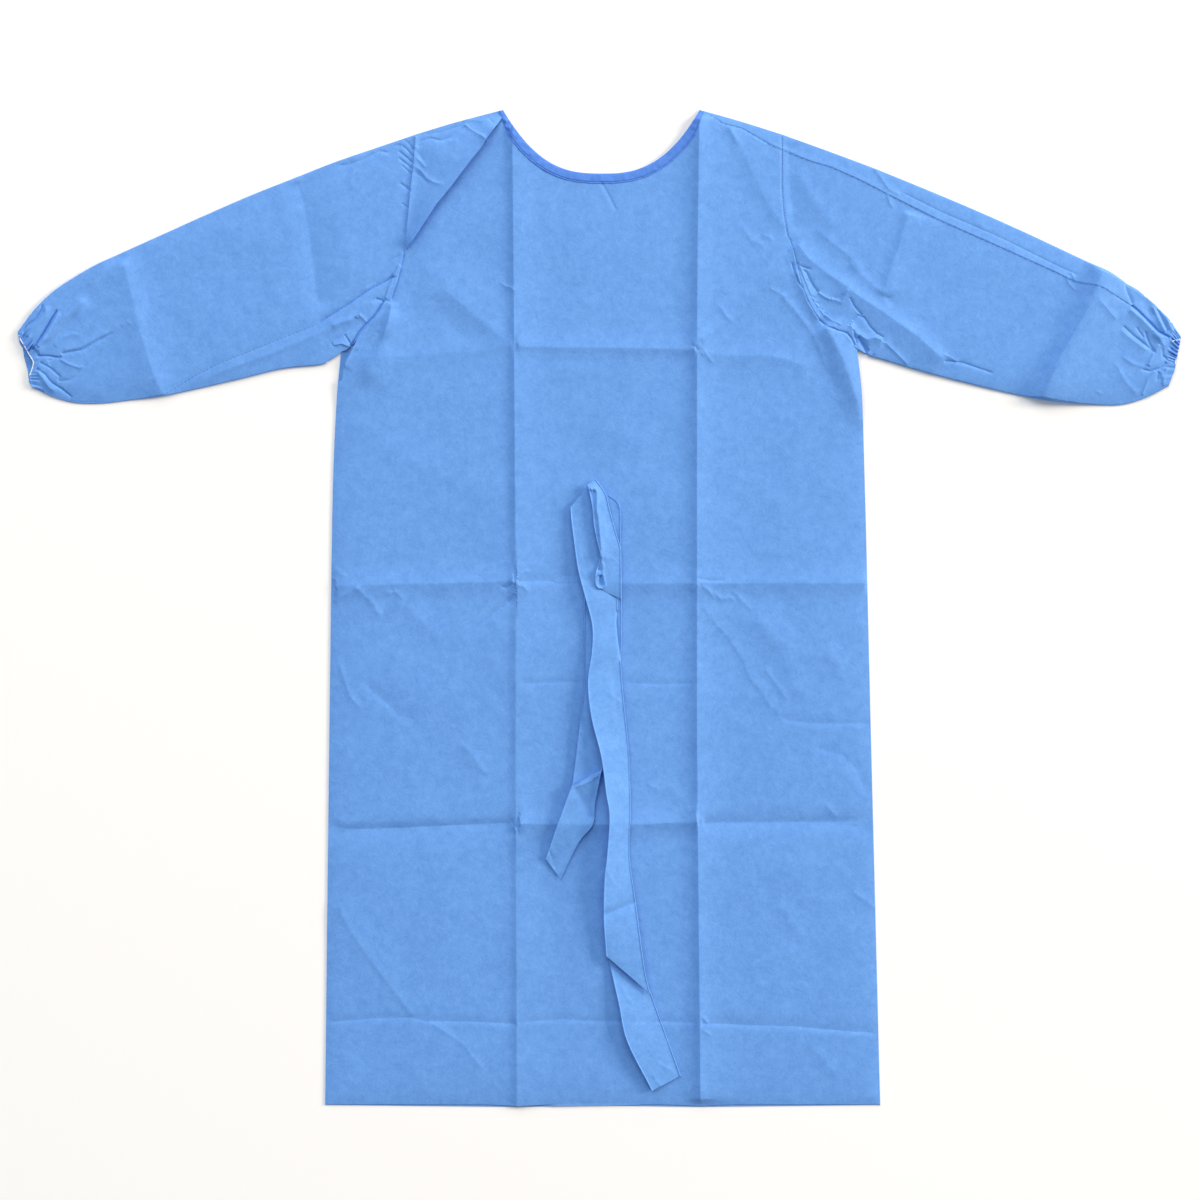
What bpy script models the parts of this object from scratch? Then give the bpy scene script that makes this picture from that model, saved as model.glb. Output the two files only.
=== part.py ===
"""Surgical gown of thin spun-bonded cloth, laid flat on a table with its front up.

Metres, +Z up. The table is Z = 0, the neck is towards +Y and the hem towards -Y.
The origin is the middle of the gown's outline on the table. Left and right are as seen
from above. Every piece is a wall of cloth; neighbours stay a small gap apart at seams.
"""

from collections import namedtuple
from math import cos, pi, sin

import bmesh
import bpy
import numpy as np
from mathutils.geometry import delaunay_2d_cdt

# Driving sizes
NECK_TOP = 0.600
HEM = -0.598
HEM_AT_CREASE = -0.600
HEM_DIPS = (-0.098, 0.1215)
HEM_DIP_REACH = 0.040
WALL = 0.001
GAP = 0.0003
BACK_TOP = WALL
EDGE_TOP = 2 * WALL + GAP
BODY_TOP = 0.0039
SLEEVE_TOP = 0.0048
EDGE_ROLL = 0.020
ARM_START = 0.200
ARM_BLEND = 0.120
LATTICE = 0.036
SLEEVE_STEPS = 14
UNDER_SLEEVE_STEPS = 4
BULGE_ROWS = 6

# Centre back: the left panel lies over the right one
BACK_LAP = 0.050
LAP_RAMP = 0.012
LAP_RISE = WALL + GAP
LAP_FOOT = -BACK_LAP - LAP_RAMP - 0.005

# Neck: the edge drops from the neck points as depth * (1 - |u| ** power)
NECK_LEFT = -0.116
NECK_RIGHT = 0.121
NECK_DEPTH = 0.077
NECK_POWER = 2.7
NECK_STEPS = 22
BINDING_WIDTH = 0.012
BINDING_THICK = 0.0016
BINDING_TURN_WIDTH = 0.45
BINDING_TURN_RATE = 4.0

# Elastic cuff bands
CUFF_NOTCH = 0.007
CUFF_GATHERS = 13
GATHER_HEIGHT = 0.0009
CUFF_PUFF = 0.0012
CUFF_STEPS = 52
CUFF_SECTIONS = (0.0, 0.35, 0.7, 1.0)

COLOURS = {
    "cloth": (0.165, 0.385, 0.835),
    "cuff": (0.150, 0.350, 0.800),
    "binding": (0.095, 0.245, 0.720),
    "belt": (0.215, 0.450, 0.930),
}

Point = namedtuple("Point", "x y")
Station = namedtuple("Station", "top_x top_y bottom_x bottom_y seam")
Fold = namedtuple("Fold", "x0 y0 x1 y1 rise reach")
Strip = namedtuple("Strip", "left_x left_y left_lift right_x right_y right_lift")
Swell = namedtuple("Swell", "share proud")

SIDE_LEFT = [
    Point(-0.311, 0.3075),
    Point(-0.316, 0.251),
    Point(-0.321, 0.130),
    Point(-0.325, -0.159),
    Point(-0.330, HEM),
]

SIDE_RIGHT = [
    Point(0.310, 0.311),
    Point(0.316, 0.251),
    Point(0.320, 0.130),
    Point(0.327, -0.159),
    Point(0.338, HEM),
]

ARMHOLE_LEFT = [
    Point(-0.222, 0.570),
    Point(-0.224, 0.534),
    Point(-0.228, 0.492),
    Point(-0.235, 0.430),
    Point(-0.2445, 0.397),
    Point(-0.252, 0.372),
    Point(-0.265, 0.356),
    Point(-0.291, 0.326),
    Point(-0.311, 0.3075),
]

ARMHOLE_RIGHT = [
    Point(0.221, 0.570),
    Point(0.220, 0.531),
    Point(0.222, 0.492),
    Point(0.227, 0.453),
    Point(0.232, 0.428),
    Point(0.240, 0.391),
    Point(0.259, 0.361),
    Point(0.286, 0.334),
    Point(0.310, 0.311),
]

SHOULDER_LEFT = [Point(-0.222, 0.570), Point(-0.180, 0.583), Point(NECK_LEFT, NECK_TOP)]
SHOULDER_RIGHT = [Point(NECK_RIGHT, NECK_TOP), Point(0.180, 0.583), Point(0.221, 0.570)]
SHOULDER_SEAM = [Point(0.126, 0.5985), Point(0.172, 0.5785), Point(0.224, 0.5510)]

# One row for each section across a sleeve, from armhole to cuff. The seam column is where
# the seam that shows crosses the section, as a share of the way from top to bottom.
SLEEVE_LEFT = [
    Station(-0.222, 0.5700, -0.311, 0.3075, 0.600),
    Station(-0.270, 0.5535, -0.319, 0.3015, 0.720),
    Station(-0.318, 0.5370, -0.327, 0.2970, 0.767),
    Station(-0.366, 0.5180, -0.335, 0.2930, 0.782),
    Station(-0.420, 0.4965, -0.380, 0.2885, 0.839),
    Station(-0.475, 0.4725, -0.430, 0.2765, 0.867),
    Station(-0.527, 0.4490, -0.480, 0.2650, 0.910),
    Station(-0.577, 0.4265, -0.527, 0.2550, 0.960),
    Station(-0.608, 0.4120, -0.562, 0.2510, 0.965),
    Station(-0.634, 0.3970, -0.595, 0.2470, 0.965),
    Station(-0.655, 0.3830, -0.626, 0.2470, 0.960),
    Station(-0.672, 0.3680, -0.648, 0.2515, 0.955),
    Station(-0.686, 0.3525, -0.668, 0.2590, 0.950),
]

SLEEVE_RIGHT = [
    Station(0.221, 0.5700, 0.310, 0.3110, 0.062),
    Station(0.272, 0.5515, 0.318, 0.3070, 0.080),
    Station(0.328, 0.5305, 0.327, 0.3030, 0.097),
    Station(0.380, 0.5095, 0.340, 0.2995, 0.121),
    Station(0.440, 0.4845, 0.387, 0.2855, 0.138),
    Station(0.500, 0.4580, 0.435, 0.2730, 0.146),
    Station(0.560, 0.4300, 0.485, 0.2610, 0.151),
    Station(0.610, 0.4060, 0.532, 0.2510, 0.130),
    Station(0.633, 0.3915, 0.567, 0.2470, 0.125),
    Station(0.652, 0.3800, 0.600, 0.2450, 0.163),
    Station(0.668, 0.3660, 0.628, 0.2450, 0.180),
    Station(0.680, 0.3540, 0.652, 0.2510, 0.204),
    Station(0.690, 0.3425, 0.672, 0.2600, 0.190),
]

CUFF_END_LEFT = Station(-0.700, 0.3340, -0.680, 0.2655, 0.0)
CUFF_END_RIGHT = Station(0.700, 0.3280, 0.685, 0.2670, 0.0)

# The hidden seam of each sleeve, as a share of the way across its back
HIDDEN_SEAM_LEFT = 0.08
HIDDEN_SEAM_RIGHT = 0.92

# The section of the neck binding, from its folded edge to its sewn one
BINDING_SECTION = [
    Swell(0.00, 0.0),
    Swell(0.15, 1.0),
    Swell(0.50, 1.0),
    Swell(0.85, 1.0),
    Swell(1.00, 0.2),
]

# Packing creases that stay pressed in the cloth, and the soft folds beside them
BODY_FOLDS = [
    Fold(-0.1015, 0.567, -0.098, -0.600, 0.0019, 0.013),
    Fold(0.1215, 0.599, 0.1215, -0.600, 0.0019, 0.013),
    Fold(-0.100, 0.311, 0.120, 0.311, 0.0012, 0.012),
    Fold(-0.306, 0.303, -0.100, 0.311, 0.0006, 0.012),
    Fold(0.120, 0.311, 0.290, 0.297, 0.0006, 0.012),
    Fold(-0.323, 0.030, -0.100, 0.032, 0.0012, 0.012),
    Fold(-0.100, 0.032, -0.027, 0.033, -0.0008, 0.012),
    Fold(0.030, 0.033, 0.322, 0.030, 0.0012, 0.012),
    Fold(-0.325, -0.266, -0.100, -0.258, -0.0008, 0.012),
    Fold(-0.100, -0.258, 0.121, -0.257, 0.0012, 0.012),
    Fold(0.121, -0.257, 0.330, -0.258, -0.0008, 0.012),
    Fold(-0.328, -0.496, 0.334, -0.509, 0.0006, 0.010),
    Fold(-0.222, 0.425, -0.108, 0.317, 0.0009, 0.016),
    Fold(0.148, 0.585, 0.230, 0.444, 0.0009, 0.016),
]

SLEEVE_FOLDS = [
    Fold(-0.364, 0.514, -0.335, 0.301, 0.0012, 0.022),
    Fold(-0.572, 0.416, -0.525, 0.257, 0.0012, 0.022),
    Fold(0.373, 0.478, 0.330, 0.315, 0.0012, 0.022),
    Fold(0.607, 0.407, 0.532, 0.251, 0.0012, 0.022),
    Fold(-0.676, 0.311, -0.616, 0.374, 0.0013, 0.009),
    Fold(-0.670, 0.304, -0.583, 0.332, 0.0010, 0.009),
    Fold(-0.672, 0.290, -0.634, 0.256, 0.0012, 0.008),
    Fold(0.684, 0.325, 0.645, 0.375, 0.0012, 0.009),
    Fold(0.680, 0.316, 0.625, 0.350, 0.0010, 0.009),
    Fold(0.672, 0.290, 0.640, 0.262, 0.0010, 0.008),
]

# The pleat at the left shoulder: its folded edge, and the two layers that it adds
PLEAT_EDGE = [Point(-0.121, 0.585), Point(-0.181, 0.508), Point(-0.234, 0.430)]
PLEAT_STEP = 0.004
PLEAT_LAYERS = 2

# One row for each section across a tape, with how far its two edges stand off the front
BELT_SHORT_TAIL = [
    Strip(-0.016, 0.147, 0.0010, 0.012, 0.135, 0.0010),
    Strip(-0.018, 0.121, 0.0010, 0.025, 0.122, 0.0010),
    Strip(-0.018, 0.082, 0.0010, 0.026, 0.082, 0.0010),
    Strip(-0.018, 0.022, 0.0010, 0.027, 0.022, 0.0010),
    Strip(-0.018, -0.038, 0.0010, 0.027, -0.038, 0.0010),
    Strip(-0.018, -0.089, 0.0010, 0.024, -0.077, 0.0010),
    Strip(-0.025, -0.151, 0.0030, 0.014, -0.144, 0.0010),
    Strip(-0.033, -0.212, 0.0055, 0.004, -0.196, 0.0015),
    Strip(-0.044, -0.240, 0.0050, -0.005, -0.239, 0.0020),
    Strip(-0.058, -0.281, 0.0030, -0.027, -0.290, 0.0020),
    Strip(-0.065, -0.300, 0.0012, -0.047, -0.325, 0.0012),
]

BELT_LONG_TAIL = [
    Strip(-0.035, 0.121, 0.0042, -0.010, 0.151, 0.0026),
    Strip(-0.034, 0.106, 0.0052, -0.002, 0.116, 0.0026),
    Strip(-0.031, 0.082, 0.0062, 0.006, 0.082, 0.0026),
    Strip(-0.026, 0.047, 0.0070, 0.013, 0.051, 0.0026),
    Strip(-0.018, 0.016, 0.0074, 0.021, 0.020, 0.0026),
    Strip(-0.009, -0.020, 0.0070, 0.023, -0.018, 0.0026),
    Strip(-0.009, -0.050, 0.0066, 0.025, -0.048, 0.0026),
    Strip(-0.014, -0.088, 0.0070, 0.027, -0.080, 0.0026),
    Strip(-0.010, -0.130, 0.0080, 0.030, -0.116, 0.0026),
    Strip(0.002, -0.178, 0.0090, 0.035, -0.165, 0.0026),
    Strip(0.008, -0.222, 0.0095, 0.037, -0.207, 0.0024),
    Strip(0.012, -0.251, 0.0095, 0.038, -0.246, 0.0020),
    Strip(0.009, -0.298, 0.0090, 0.036, -0.285, 0.0020),
    Strip(0.006, -0.325, 0.0080, 0.038, -0.313, 0.0030),
    Strip(0.005, -0.369, 0.0080, 0.044, -0.354, 0.0040),
    Strip(0.007, -0.405, 0.0060, 0.054, -0.429, 0.0030),
    Strip(0.008, -0.417, 0.0045, 0.061, -0.463, 0.0028),
]

BELT_LONG_TAIL_END = [
    Strip(0.010, -0.408, 0.0012, 0.056, -0.448, 0.0010),
    Strip(0.012, -0.425, 0.0022, 0.062, -0.463, 0.0010),
    Strip(0.023, -0.475, 0.0050, 0.073, -0.493, 0.0012),
    Strip(0.033, -0.520, 0.0060, 0.083, -0.520, 0.0012),
    Strip(0.063, -0.580, 0.0030, 0.098, -0.562, 0.0012),
]

BELT_SEWN_END = [
    Strip(-0.015, 0.149, 0.0060, 0.001, 0.151, 0.0045),
    Strip(-0.003, 0.141, 0.0064, 0.007, 0.137, 0.0048),
    Strip(-0.002, 0.116, 0.0066, 0.014, 0.112, 0.0050),
    Strip(0.000, 0.082, 0.0066, 0.024, 0.079, 0.0045),
    Strip(0.003, 0.058, 0.0066, 0.026, 0.058, 0.0042),
    Strip(0.006, 0.029, 0.0070, 0.026, 0.012, 0.0042),
]


def clear_scene():
    for obj in list(bpy.data.objects):
        bpy.data.objects.remove(obj, do_unlink=True)


def smooth_step(value):
    value = np.clip(value, 0.0, 1.0)
    return value * value * (3.0 - 2.0 * value)


def polyline_at(points, share):
    """The point at this share of a polyline's length."""
    corners = np.array(points, float)
    lengths = np.hypot(*np.diff(corners, axis=0).T)
    along = np.concatenate([[0.0], np.cumsum(lengths)])
    wanted = share * along[-1]
    return np.array([np.interp(wanted, along, column) for column in corners.T])


def divided(line, spacing):
    """A polyline with points added so that no stretch is much longer than the spacing."""
    out = [tuple(line[0])]
    for start, end in zip(line, line[1:]):
        steps = max(1, round(np.hypot(end[0] - start[0], end[1] - start[1]) / spacing))
        out += [tuple(polyline_at([start, end], step / steps)) for step in range(1, steps + 1)]
    return out


def smooth_rows(rows):
    """A table's rows with one more between each two, on a smooth curve through them."""
    table = np.array(rows, float)
    padded = np.vstack([2 * table[0] - table[1], table, 2 * table[-1] - table[-2]])
    out = [table[0]]
    for before, start, end, after in zip(padded, padded[1:], padded[2:], padded[3:]):
        out.append((9 * (start + end) - before - after) / 16)
        out.append(end)
    return np.array(out)


def distance_to(points, line):
    """Distance from each point to a polyline, in plan."""
    points = np.asarray(points, float)[:, None, :]
    corners = np.array(line, float)
    start = corners[None, :-1]
    run = corners[None, 1:] - start
    share = ((points - start) * run).sum(-1) / (run * run).sum(-1)
    nearest = start + np.clip(share, 0.0, 1.0)[..., None] * run
    return np.hypot(*np.moveaxis(points - nearest, -1, 0)).min(axis=1)


def neck_places(start=NECK_LEFT, end=NECK_RIGHT):
    """Where the neck edge has its points, closer together towards the neck points."""
    span = NECK_RIGHT - NECK_LEFT
    turns = [pi * step / NECK_STEPS for step in range(NECK_STEPS + 1)]
    places = [NECK_LEFT + span * (1 - cos(turn)) / 2 for turn in turns]
    return [start] + [x for x in places if start + GAP < x < end - GAP] + [end]


def neck_curve(inset, places):
    """The neck edge from left to right, moved out into the cloth by inset."""
    middle = (NECK_LEFT + NECK_RIGHT) / 2
    half = (NECK_RIGHT - NECK_LEFT) / 2
    out = []
    for x in places:
        u = (x - middle) / half
        y = NECK_TOP - NECK_DEPTH * (1 - abs(u) ** NECK_POWER)
        slope = NECK_DEPTH * NECK_POWER * abs(u) ** (NECK_POWER - 1) * np.sign(u) / half
        length = (1 + slope * slope) ** 0.5
        # Near the neck points the tape is turned under, so it narrows there
        narrow = inset * min(1.0, BINDING_TURN_WIDTH + BINDING_TURN_RATE * (1 - abs(u)))
        out.append((x + narrow * slope / length, y - narrow / length))
    return out


def hem_line():
    """Corners of the hem, which dips a little where the upright creases meet it."""
    line = [tuple(SIDE_LEFT[-1])]
    for x in HEM_DIPS:
        line += [(x - HEM_DIP_REACH, HEM), (x, HEM_AT_CREASE), (x + HEM_DIP_REACH, HEM)]
    return line + [tuple(SIDE_RIGHT[-1])]


def sleeve_edges(rows):
    top = [(row.top_x, row.top_y) for row in rows]
    bottom = [(row.bottom_x, row.bottom_y) for row in rows]
    return top, bottom


def outer_line():
    """The gown's outer edge in plan, from neck point to neck point by way of the hem."""
    left_top, left_bottom = sleeve_edges(SLEEVE_LEFT + [CUFF_END_LEFT])
    right_top, right_bottom = sleeve_edges(SLEEVE_RIGHT + [CUFF_END_RIGHT])
    line = list(reversed(SHOULDER_LEFT)) + left_top[1:] + left_bottom[::-1]
    line += SIDE_LEFT[1:-1] + hem_line() + SIDE_RIGHT[1:-1][::-1]
    line += right_bottom + right_top[::-1] + SHOULDER_RIGHT[::-1][1:]
    return [tuple(point[:2]) for point in line]


OUTER_LINE = outer_line()


def cloth_top(points):
    """Height of the upper face of the cloth that shows: low at the gown's edges, with its folds."""
    points = np.asarray(points, float)
    across = np.abs(points[:, 0])
    arm = smooth_step((across - ARM_START) / ARM_BLEND)
    full = BODY_TOP + (SLEEVE_TOP - BODY_TOP) * arm
    lapped = 1 - smooth_step((across - BACK_LAP - LAP_RAMP) / BACK_LAP)
    edge = EDGE_TOP + LAP_RISE * lapped
    inside = 1 - np.exp(-distance_to(points, OUTER_LINE) / EDGE_ROLL)
    height = edge + (full - edge) * inside
    for fold in BODY_FOLDS + SLEEVE_FOLDS:
        away = distance_to(points, [(fold.x0, fold.y0), (fold.x1, fold.y1)])
        height += fold.rise * np.exp(-away / fold.reach)
    return np.maximum(height, edge)


def left_of_pleat(points):
    """1 on the shoulder side of the pleat's folded edge and 0 past it, with a short slope between."""
    points = np.asarray(points, float)
    edge = np.array(PLEAT_EDGE, float)
    line_x = np.interp(points[:, 1], edge[::-1, 1], edge[::-1, 0])
    above_foot = smooth_step((points[:, 1] - edge[-1, 1]) / PLEAT_STEP)
    below_top = smooth_step((edge[0, 1] - points[:, 1]) / PLEAT_STEP)
    beside = smooth_step(0.5 - (points[:, 0] - line_x) / PLEAT_STEP)
    return above_foot * below_top * beside


def front_top(points):
    return cloth_top(points) + PLEAT_LAYERS * WALL * left_of_pleat(points)


def front_bottom(points):
    return cloth_top(points) - WALL


def table_level(points):
    return np.zeros(len(points))


def back_right_top(points):
    """One layer, or the cloth turned over the shoulder up to the seam that shows."""
    points = np.asarray(points, float)
    seam = np.array(SHOULDER_SEAM, float)
    seam_y = np.interp(points[:, 0], seam[:, 0], seam[:, 1])
    turned = (points[:, 0] >= seam[0, 0]) & (points[:, 1] > seam_y + GAP / 2)
    return np.where(turned, cloth_top(points), BACK_TOP)


def lap_level(points):
    """How far the left back panel rises to pass over the right one."""
    return LAP_RISE * np.clip((np.asarray(points)[:, 0] - LAP_FOOT) / LAP_RAMP, 0.0, 1.0)


def back_left_top(points):
    return lap_level(points) + WALL


def lattice_inside(outline, lines, spacing):
    """Points of a triangular lattice over the outline's box, clear of every line."""
    corners = np.array(outline, float)
    low = corners.min(axis=0)
    high = corners.max(axis=0)
    rows = np.arange(low[1] + spacing / 2, high[1], spacing * sin(pi / 3))
    points = []
    for number, y in enumerate(rows):
        start = low[0] + spacing * (0.5 if number % 2 else 1.0)
        points += [(x, y) for x in np.arange(start, high[0], spacing)]
    points = np.array(points)
    clear = np.ones(len(points), bool)
    for line in lines:
        clear &= distance_to(points, line) > spacing / 2
    return points[clear]


def filled(outline, creases, spacing):
    """The outline filled with triangles whose edges follow the creases; spacing is the size of
    the triangles between them, or None for as few as there can be."""
    closed = list(outline) + [outline[0]]
    inner = [divided(crease, spacing) if spacing else list(crease) for crease in creases]
    verts = [tuple(point) for point in outline]
    edges = []
    for line in inner:
        first = len(verts)
        verts += [tuple(point) for point in line]
        edges += [(first + step, first + step + 1) for step in range(len(line) - 1)]
    if spacing:
        verts += [tuple(point) for point in lattice_inside(outline, [closed] + inner, spacing)]
    ring = list(range(len(outline)))
    flat, _, faces, *_ = delaunay_2d_cdt(verts, edges, [ring], 1, 1e-6)
    return np.array([(point[0], point[1]) for point in flat]), [tuple(face) for face in faces]


def signed_area(outline):
    corners = np.array([point[:2] for point in outline], float)
    following = np.roll(corners, -1, axis=0)
    return (corners[:, 0] * following[:, 1] - corners[:, 1] * following[:, 0]).sum() / 2


def add_object(name, mesh, finish):
    """Links a mesh to the gown's collection with its own material."""
    material = bpy.data.materials.new(name)
    material.use_nodes = True
    shader = material.node_tree.nodes["Principled BSDF"]
    shader.inputs["Base Color"].default_value = (*COLOURS[finish], 1.0)
    shader.inputs["Roughness"].default_value = 0.75
    shader.inputs["Metallic"].default_value = 0.0
    mesh.materials.append(material)
    mesh.shade_smooth()
    mesh.set_sharp_from_angle(angle=pi / 4)
    obj = bpy.data.objects.new(name, mesh)
    GOWN.objects.link(obj)
    return obj


def closed_mesh(name, verts, faces, finish):
    mesh = bpy.data.meshes.new(name)
    mesh.from_pydata([tuple(map(float, vert)) for vert in verts], [], faces)
    work = bmesh.new()
    work.from_mesh(mesh)
    bmesh.ops.recalc_face_normals(work, faces=work.faces)
    work.to_mesh(mesh)
    work.free()
    return add_object(name, mesh, finish)


def panel(name, outline, creases, top, bottom, finish, spacing=LATTICE):
    """A flat-cut piece of cloth: its outline filled, then raised to its upper and lower faces."""
    if signed_area(outline) < 0:
        outline = outline[::-1]
    flat, triangles = filled(outline, creases, spacing)
    used = sorted({corner for face in triangles for corner in face})
    place = {corner: number for number, corner in enumerate(used)}
    flat = flat[used]
    triangles = [tuple(place[corner] for corner in face) for face in triangles]
    count = len(flat)
    verts = np.vstack([np.column_stack([flat, top(flat)]), np.column_stack([flat, bottom(flat)])])
    faces = list(triangles)
    faces += [tuple(corner + count for corner in face[::-1]) for face in triangles]
    ends = {(face[i], face[(i + 1) % 3]) for face in triangles for i in range(3)}
    faces += [(b, a, a + count, b + count) for a, b in ends if (b, a) not in ends]
    return closed_mesh(name, verts, faces, finish)


def wall(name, outer, inner, finish):
    """A closed wall between two grids of points that have the same rows."""
    outer = np.array(outer, float)
    inner = np.array(inner, float)
    rows, columns = outer.shape[:2]
    count = rows * columns
    verts = np.vstack([outer.reshape(-1, 3), inner.reshape(-1, 3)])
    faces = []
    for row in range(rows - 1):
        for column in range(columns - 1):
            a = row * columns + column
            quad = (a, a + 1, a + 1 + columns, a + columns)
            faces.append(quad)
            faces.append(tuple(corner + count for corner in quad[::-1]))
    rim = list(range(columns))
    rim += [row * columns + columns - 1 for row in range(1, rows)]
    rim += [(rows - 1) * columns + column for column in range(columns - 2, -1, -1)]
    rim += [row * columns for row in range(rows - 2, 0, -1)]
    for a, b in zip(rim, rim[1:] + rim[:1]):
        faces.append((b, a, a + count, b + count))
    return closed_mesh(name, verts, faces, finish)


def body_outline(shoulder_right, neck):
    """Once round the body in plan: neck, right shoulder, armhole, side, hem and back up the left."""
    line = list(neck) + list(shoulder_right)
    line += divided(ARMHOLE_RIGHT, LATTICE)[1:]
    line += SIDE_RIGHT[1:-1] + hem_line()[::-1] + SIDE_LEFT[1:-1][::-1]
    line += divided(ARMHOLE_LEFT, LATTICE)[::-1]
    line += SHOULDER_LEFT[1:-1]
    return [tuple(point[:2]) for point in line]


def front():
    seam = [(point.x, point.y - GAP / 2) for point in SHOULDER_SEAM]
    seam[-1] = polyline_at(ARMHOLE_RIGHT, SLEEVE_RIGHT[0].seam)
    neck = neck_curve(BINDING_WIDTH + GAP, neck_places())
    outline = body_outline(seam, neck)
    armhole_top = polyline_at(ARMHOLE_RIGHT, 0.0)
    outline = [point for point in outline if tuple(point) != tuple(armhole_top)]
    creases = [[(fold.x0, fold.y0), (fold.x1, fold.y1)] for fold in BODY_FOLDS]
    shift = PLEAT_STEP / 2
    creases += [[(point.x + side * shift, point.y) for point in PLEAT_EDGE] for side in (-1, 1)]
    return panel("front", outline, creases, front_top, front_bottom, "cloth")


def backs():
    seam = [(point.x, point.y) for point in SHOULDER_SEAM]
    raised = [(point.x, point.y + GAP) for point in SHOULDER_SEAM]
    right_neck = neck_curve(BINDING_WIDTH + GAP, neck_places(start=-BACK_LAP))
    left_neck = neck_curve(BINDING_WIDTH + GAP, neck_places(end=BACK_LAP))
    right = [(-BACK_LAP, HEM)] + right_neck
    right += [tuple(point) for point in SHOULDER_RIGHT[1:]]
    right += [tuple(point) for point in ARMHOLE_RIGHT[1:]]
    right += [tuple(point) for point in SIDE_RIGHT[1:]]
    panel("back_right", right, [seam, raised], back_right_top, table_level, "cloth", None)
    left = [(BACK_LAP, HEM)] + left_neck[::-1]
    left += [tuple(point) for point in SHOULDER_LEFT[::-1][1:]]
    left += [tuple(point) for point in ARMHOLE_LEFT[1:]]
    left += [tuple(point) for point in SIDE_LEFT[1:]]
    ramp = [[(x, HEM - WALL), (x, NECK_TOP)] for x in (LAP_FOOT, LAP_FOOT + LAP_RAMP)]
    panel("back_left", left, ramp, back_left_top, lap_level, "cloth", None)


def tape(name, upper, lower, finish):
    """A flat tape in plan between two lines of the same number of points."""
    outer = []
    inner = []
    for first, last in zip(upper, lower):
        outer.append([(*first[:2], first[2]), (*last[:2], last[2])])
        inner.append([(*first[:2], first[3]), (*last[:2], last[3])])
    return wall(name, outer, inner, finish)


def neck_bindings():
    edge = np.array(neck_curve(0.0, neck_places()))
    sewn = np.array(neck_curve(BINDING_WIDTH, neck_places()))
    outer = []
    inner = []
    for place in BINDING_SECTION:
        line = edge + (sewn - edge) * place.share
        top = cloth_top(line)
        swell = (BINDING_THICK - WALL) / 2 * place.proud
        outer.append(np.column_stack([line, top + swell]))
        inner.append(np.column_stack([line, top - WALL - swell / 2]))
    wall("neck_binding_front", outer, inner, "binding")
    for side, start, end in (("left", NECK_LEFT, BACK_LAP), ("right", -BACK_LAP, NECK_RIGHT)):
        first = np.array(neck_curve(0.0, neck_places(start, end)))
        last = np.array(neck_curve(BINDING_WIDTH, neck_places(start, end)))
        level = lap_level if side == "left" else table_level
        upper = [(*point, z + WALL, z) for point, z in zip(first, level(first))]
        lower = [(*point, z + WALL, z) for point, z in zip(last, level(last))]
        tape("neck_binding_back_" + side, upper, lower, "binding")


def sleeve_plan(rows, armhole, side):
    """A function giving a point of the sleeve in plan: row number, and share from top to bottom."""
    table = smooth_rows(rows)

    def place(row, share):
        top = table[row, 0:2]
        bottom = table[row, 2:4]
        straight = top + (bottom - top) * share
        first = table[0, 0:2] + (table[0, 2:4] - table[0, 0:2]) * share
        bulge = polyline_at(armhole, share) - first
        fade = max(0.0, 1 - row / BULGE_ROWS) ** 2
        shift = 2 * GAP if row == 0 else 0.0
        return straight + bulge * fade + np.array([side * shift, 0.0])

    return table, place


def sleeve_piece(name, table, place, edge, hidden, top_steps, floor_steps):
    """Half a sleeve: from the seam that shows, round one edge of the flat tube, to the hidden seam."""
    outer = []
    inner = []
    for row in range(len(table)):
        seam = table[row, 4]
        width = np.hypot(*(table[row, 2:4] - table[row, 0:2]))
        roll = EDGE_TOP / 2 / width
        rim = roll if edge == "top" else 1 - roll
        inward = 1 if edge == "top" else -1
        start = seam - inward * GAP / 2 / width
        upper_shares = [start + (rim - start) * step / top_steps for step in range(top_steps + 1)]
        end = hidden - inward * GAP / 2 / width
        floor_shares = [rim + (end - rim) * step / floor_steps for step in range(floor_steps + 1)]
        upper = np.array([place(row, share) for share in upper_shares])
        heights = cloth_top(upper)
        floor = np.array([place(row, share) for share in floor_shares])
        outward = place(row, 0.0 if edge == "top" else 1.0) - floor[0]
        outward /= np.hypot(*outward)
        outer_row = [(*point, z) for point, z in zip(upper, heights)]
        inner_row = [(*point, z - WALL) for point, z in zip(upper, heights)]
        radius = heights[-1] / 2
        for angle in (pi / 4, 0.0, -pi / 4):
            for ring, size in ((outer_row, radius), (inner_row, radius - WALL)):
                out = floor[0] + outward * min(size, EDGE_TOP / 2) * cos(angle)
                ring.append((*out, radius + size * sin(angle)))
        outer_row += [(*point, 0.0) for point in floor]
        inner_row += [(*point, WALL) for point in floor]
        outer.append(outer_row)
        inner.append(inner_row)
    return wall(name, outer, inner, "cloth")


def sleeves():
    table, place = sleeve_plan(SLEEVE_LEFT, ARMHOLE_LEFT, -1)
    sleeve_piece("sleeve_left_front", table, place, "top", HIDDEN_SEAM_LEFT, SLEEVE_STEPS, 2)
    steps = (UNDER_SLEEVE_STEPS, UNDER_SLEEVE_STEPS)
    sleeve_piece("sleeve_left_back", table, place, "bottom", HIDDEN_SEAM_LEFT, *steps)
    table, place = sleeve_plan(SLEEVE_RIGHT, ARMHOLE_RIGHT, 1)
    sleeve_piece("sleeve_right_front", table, place, "bottom", HIDDEN_SEAM_RIGHT, SLEEVE_STEPS, 2)
    sleeve_piece("sleeve_right_back", table, place, "top", HIDDEN_SEAM_RIGHT, *steps)


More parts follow.
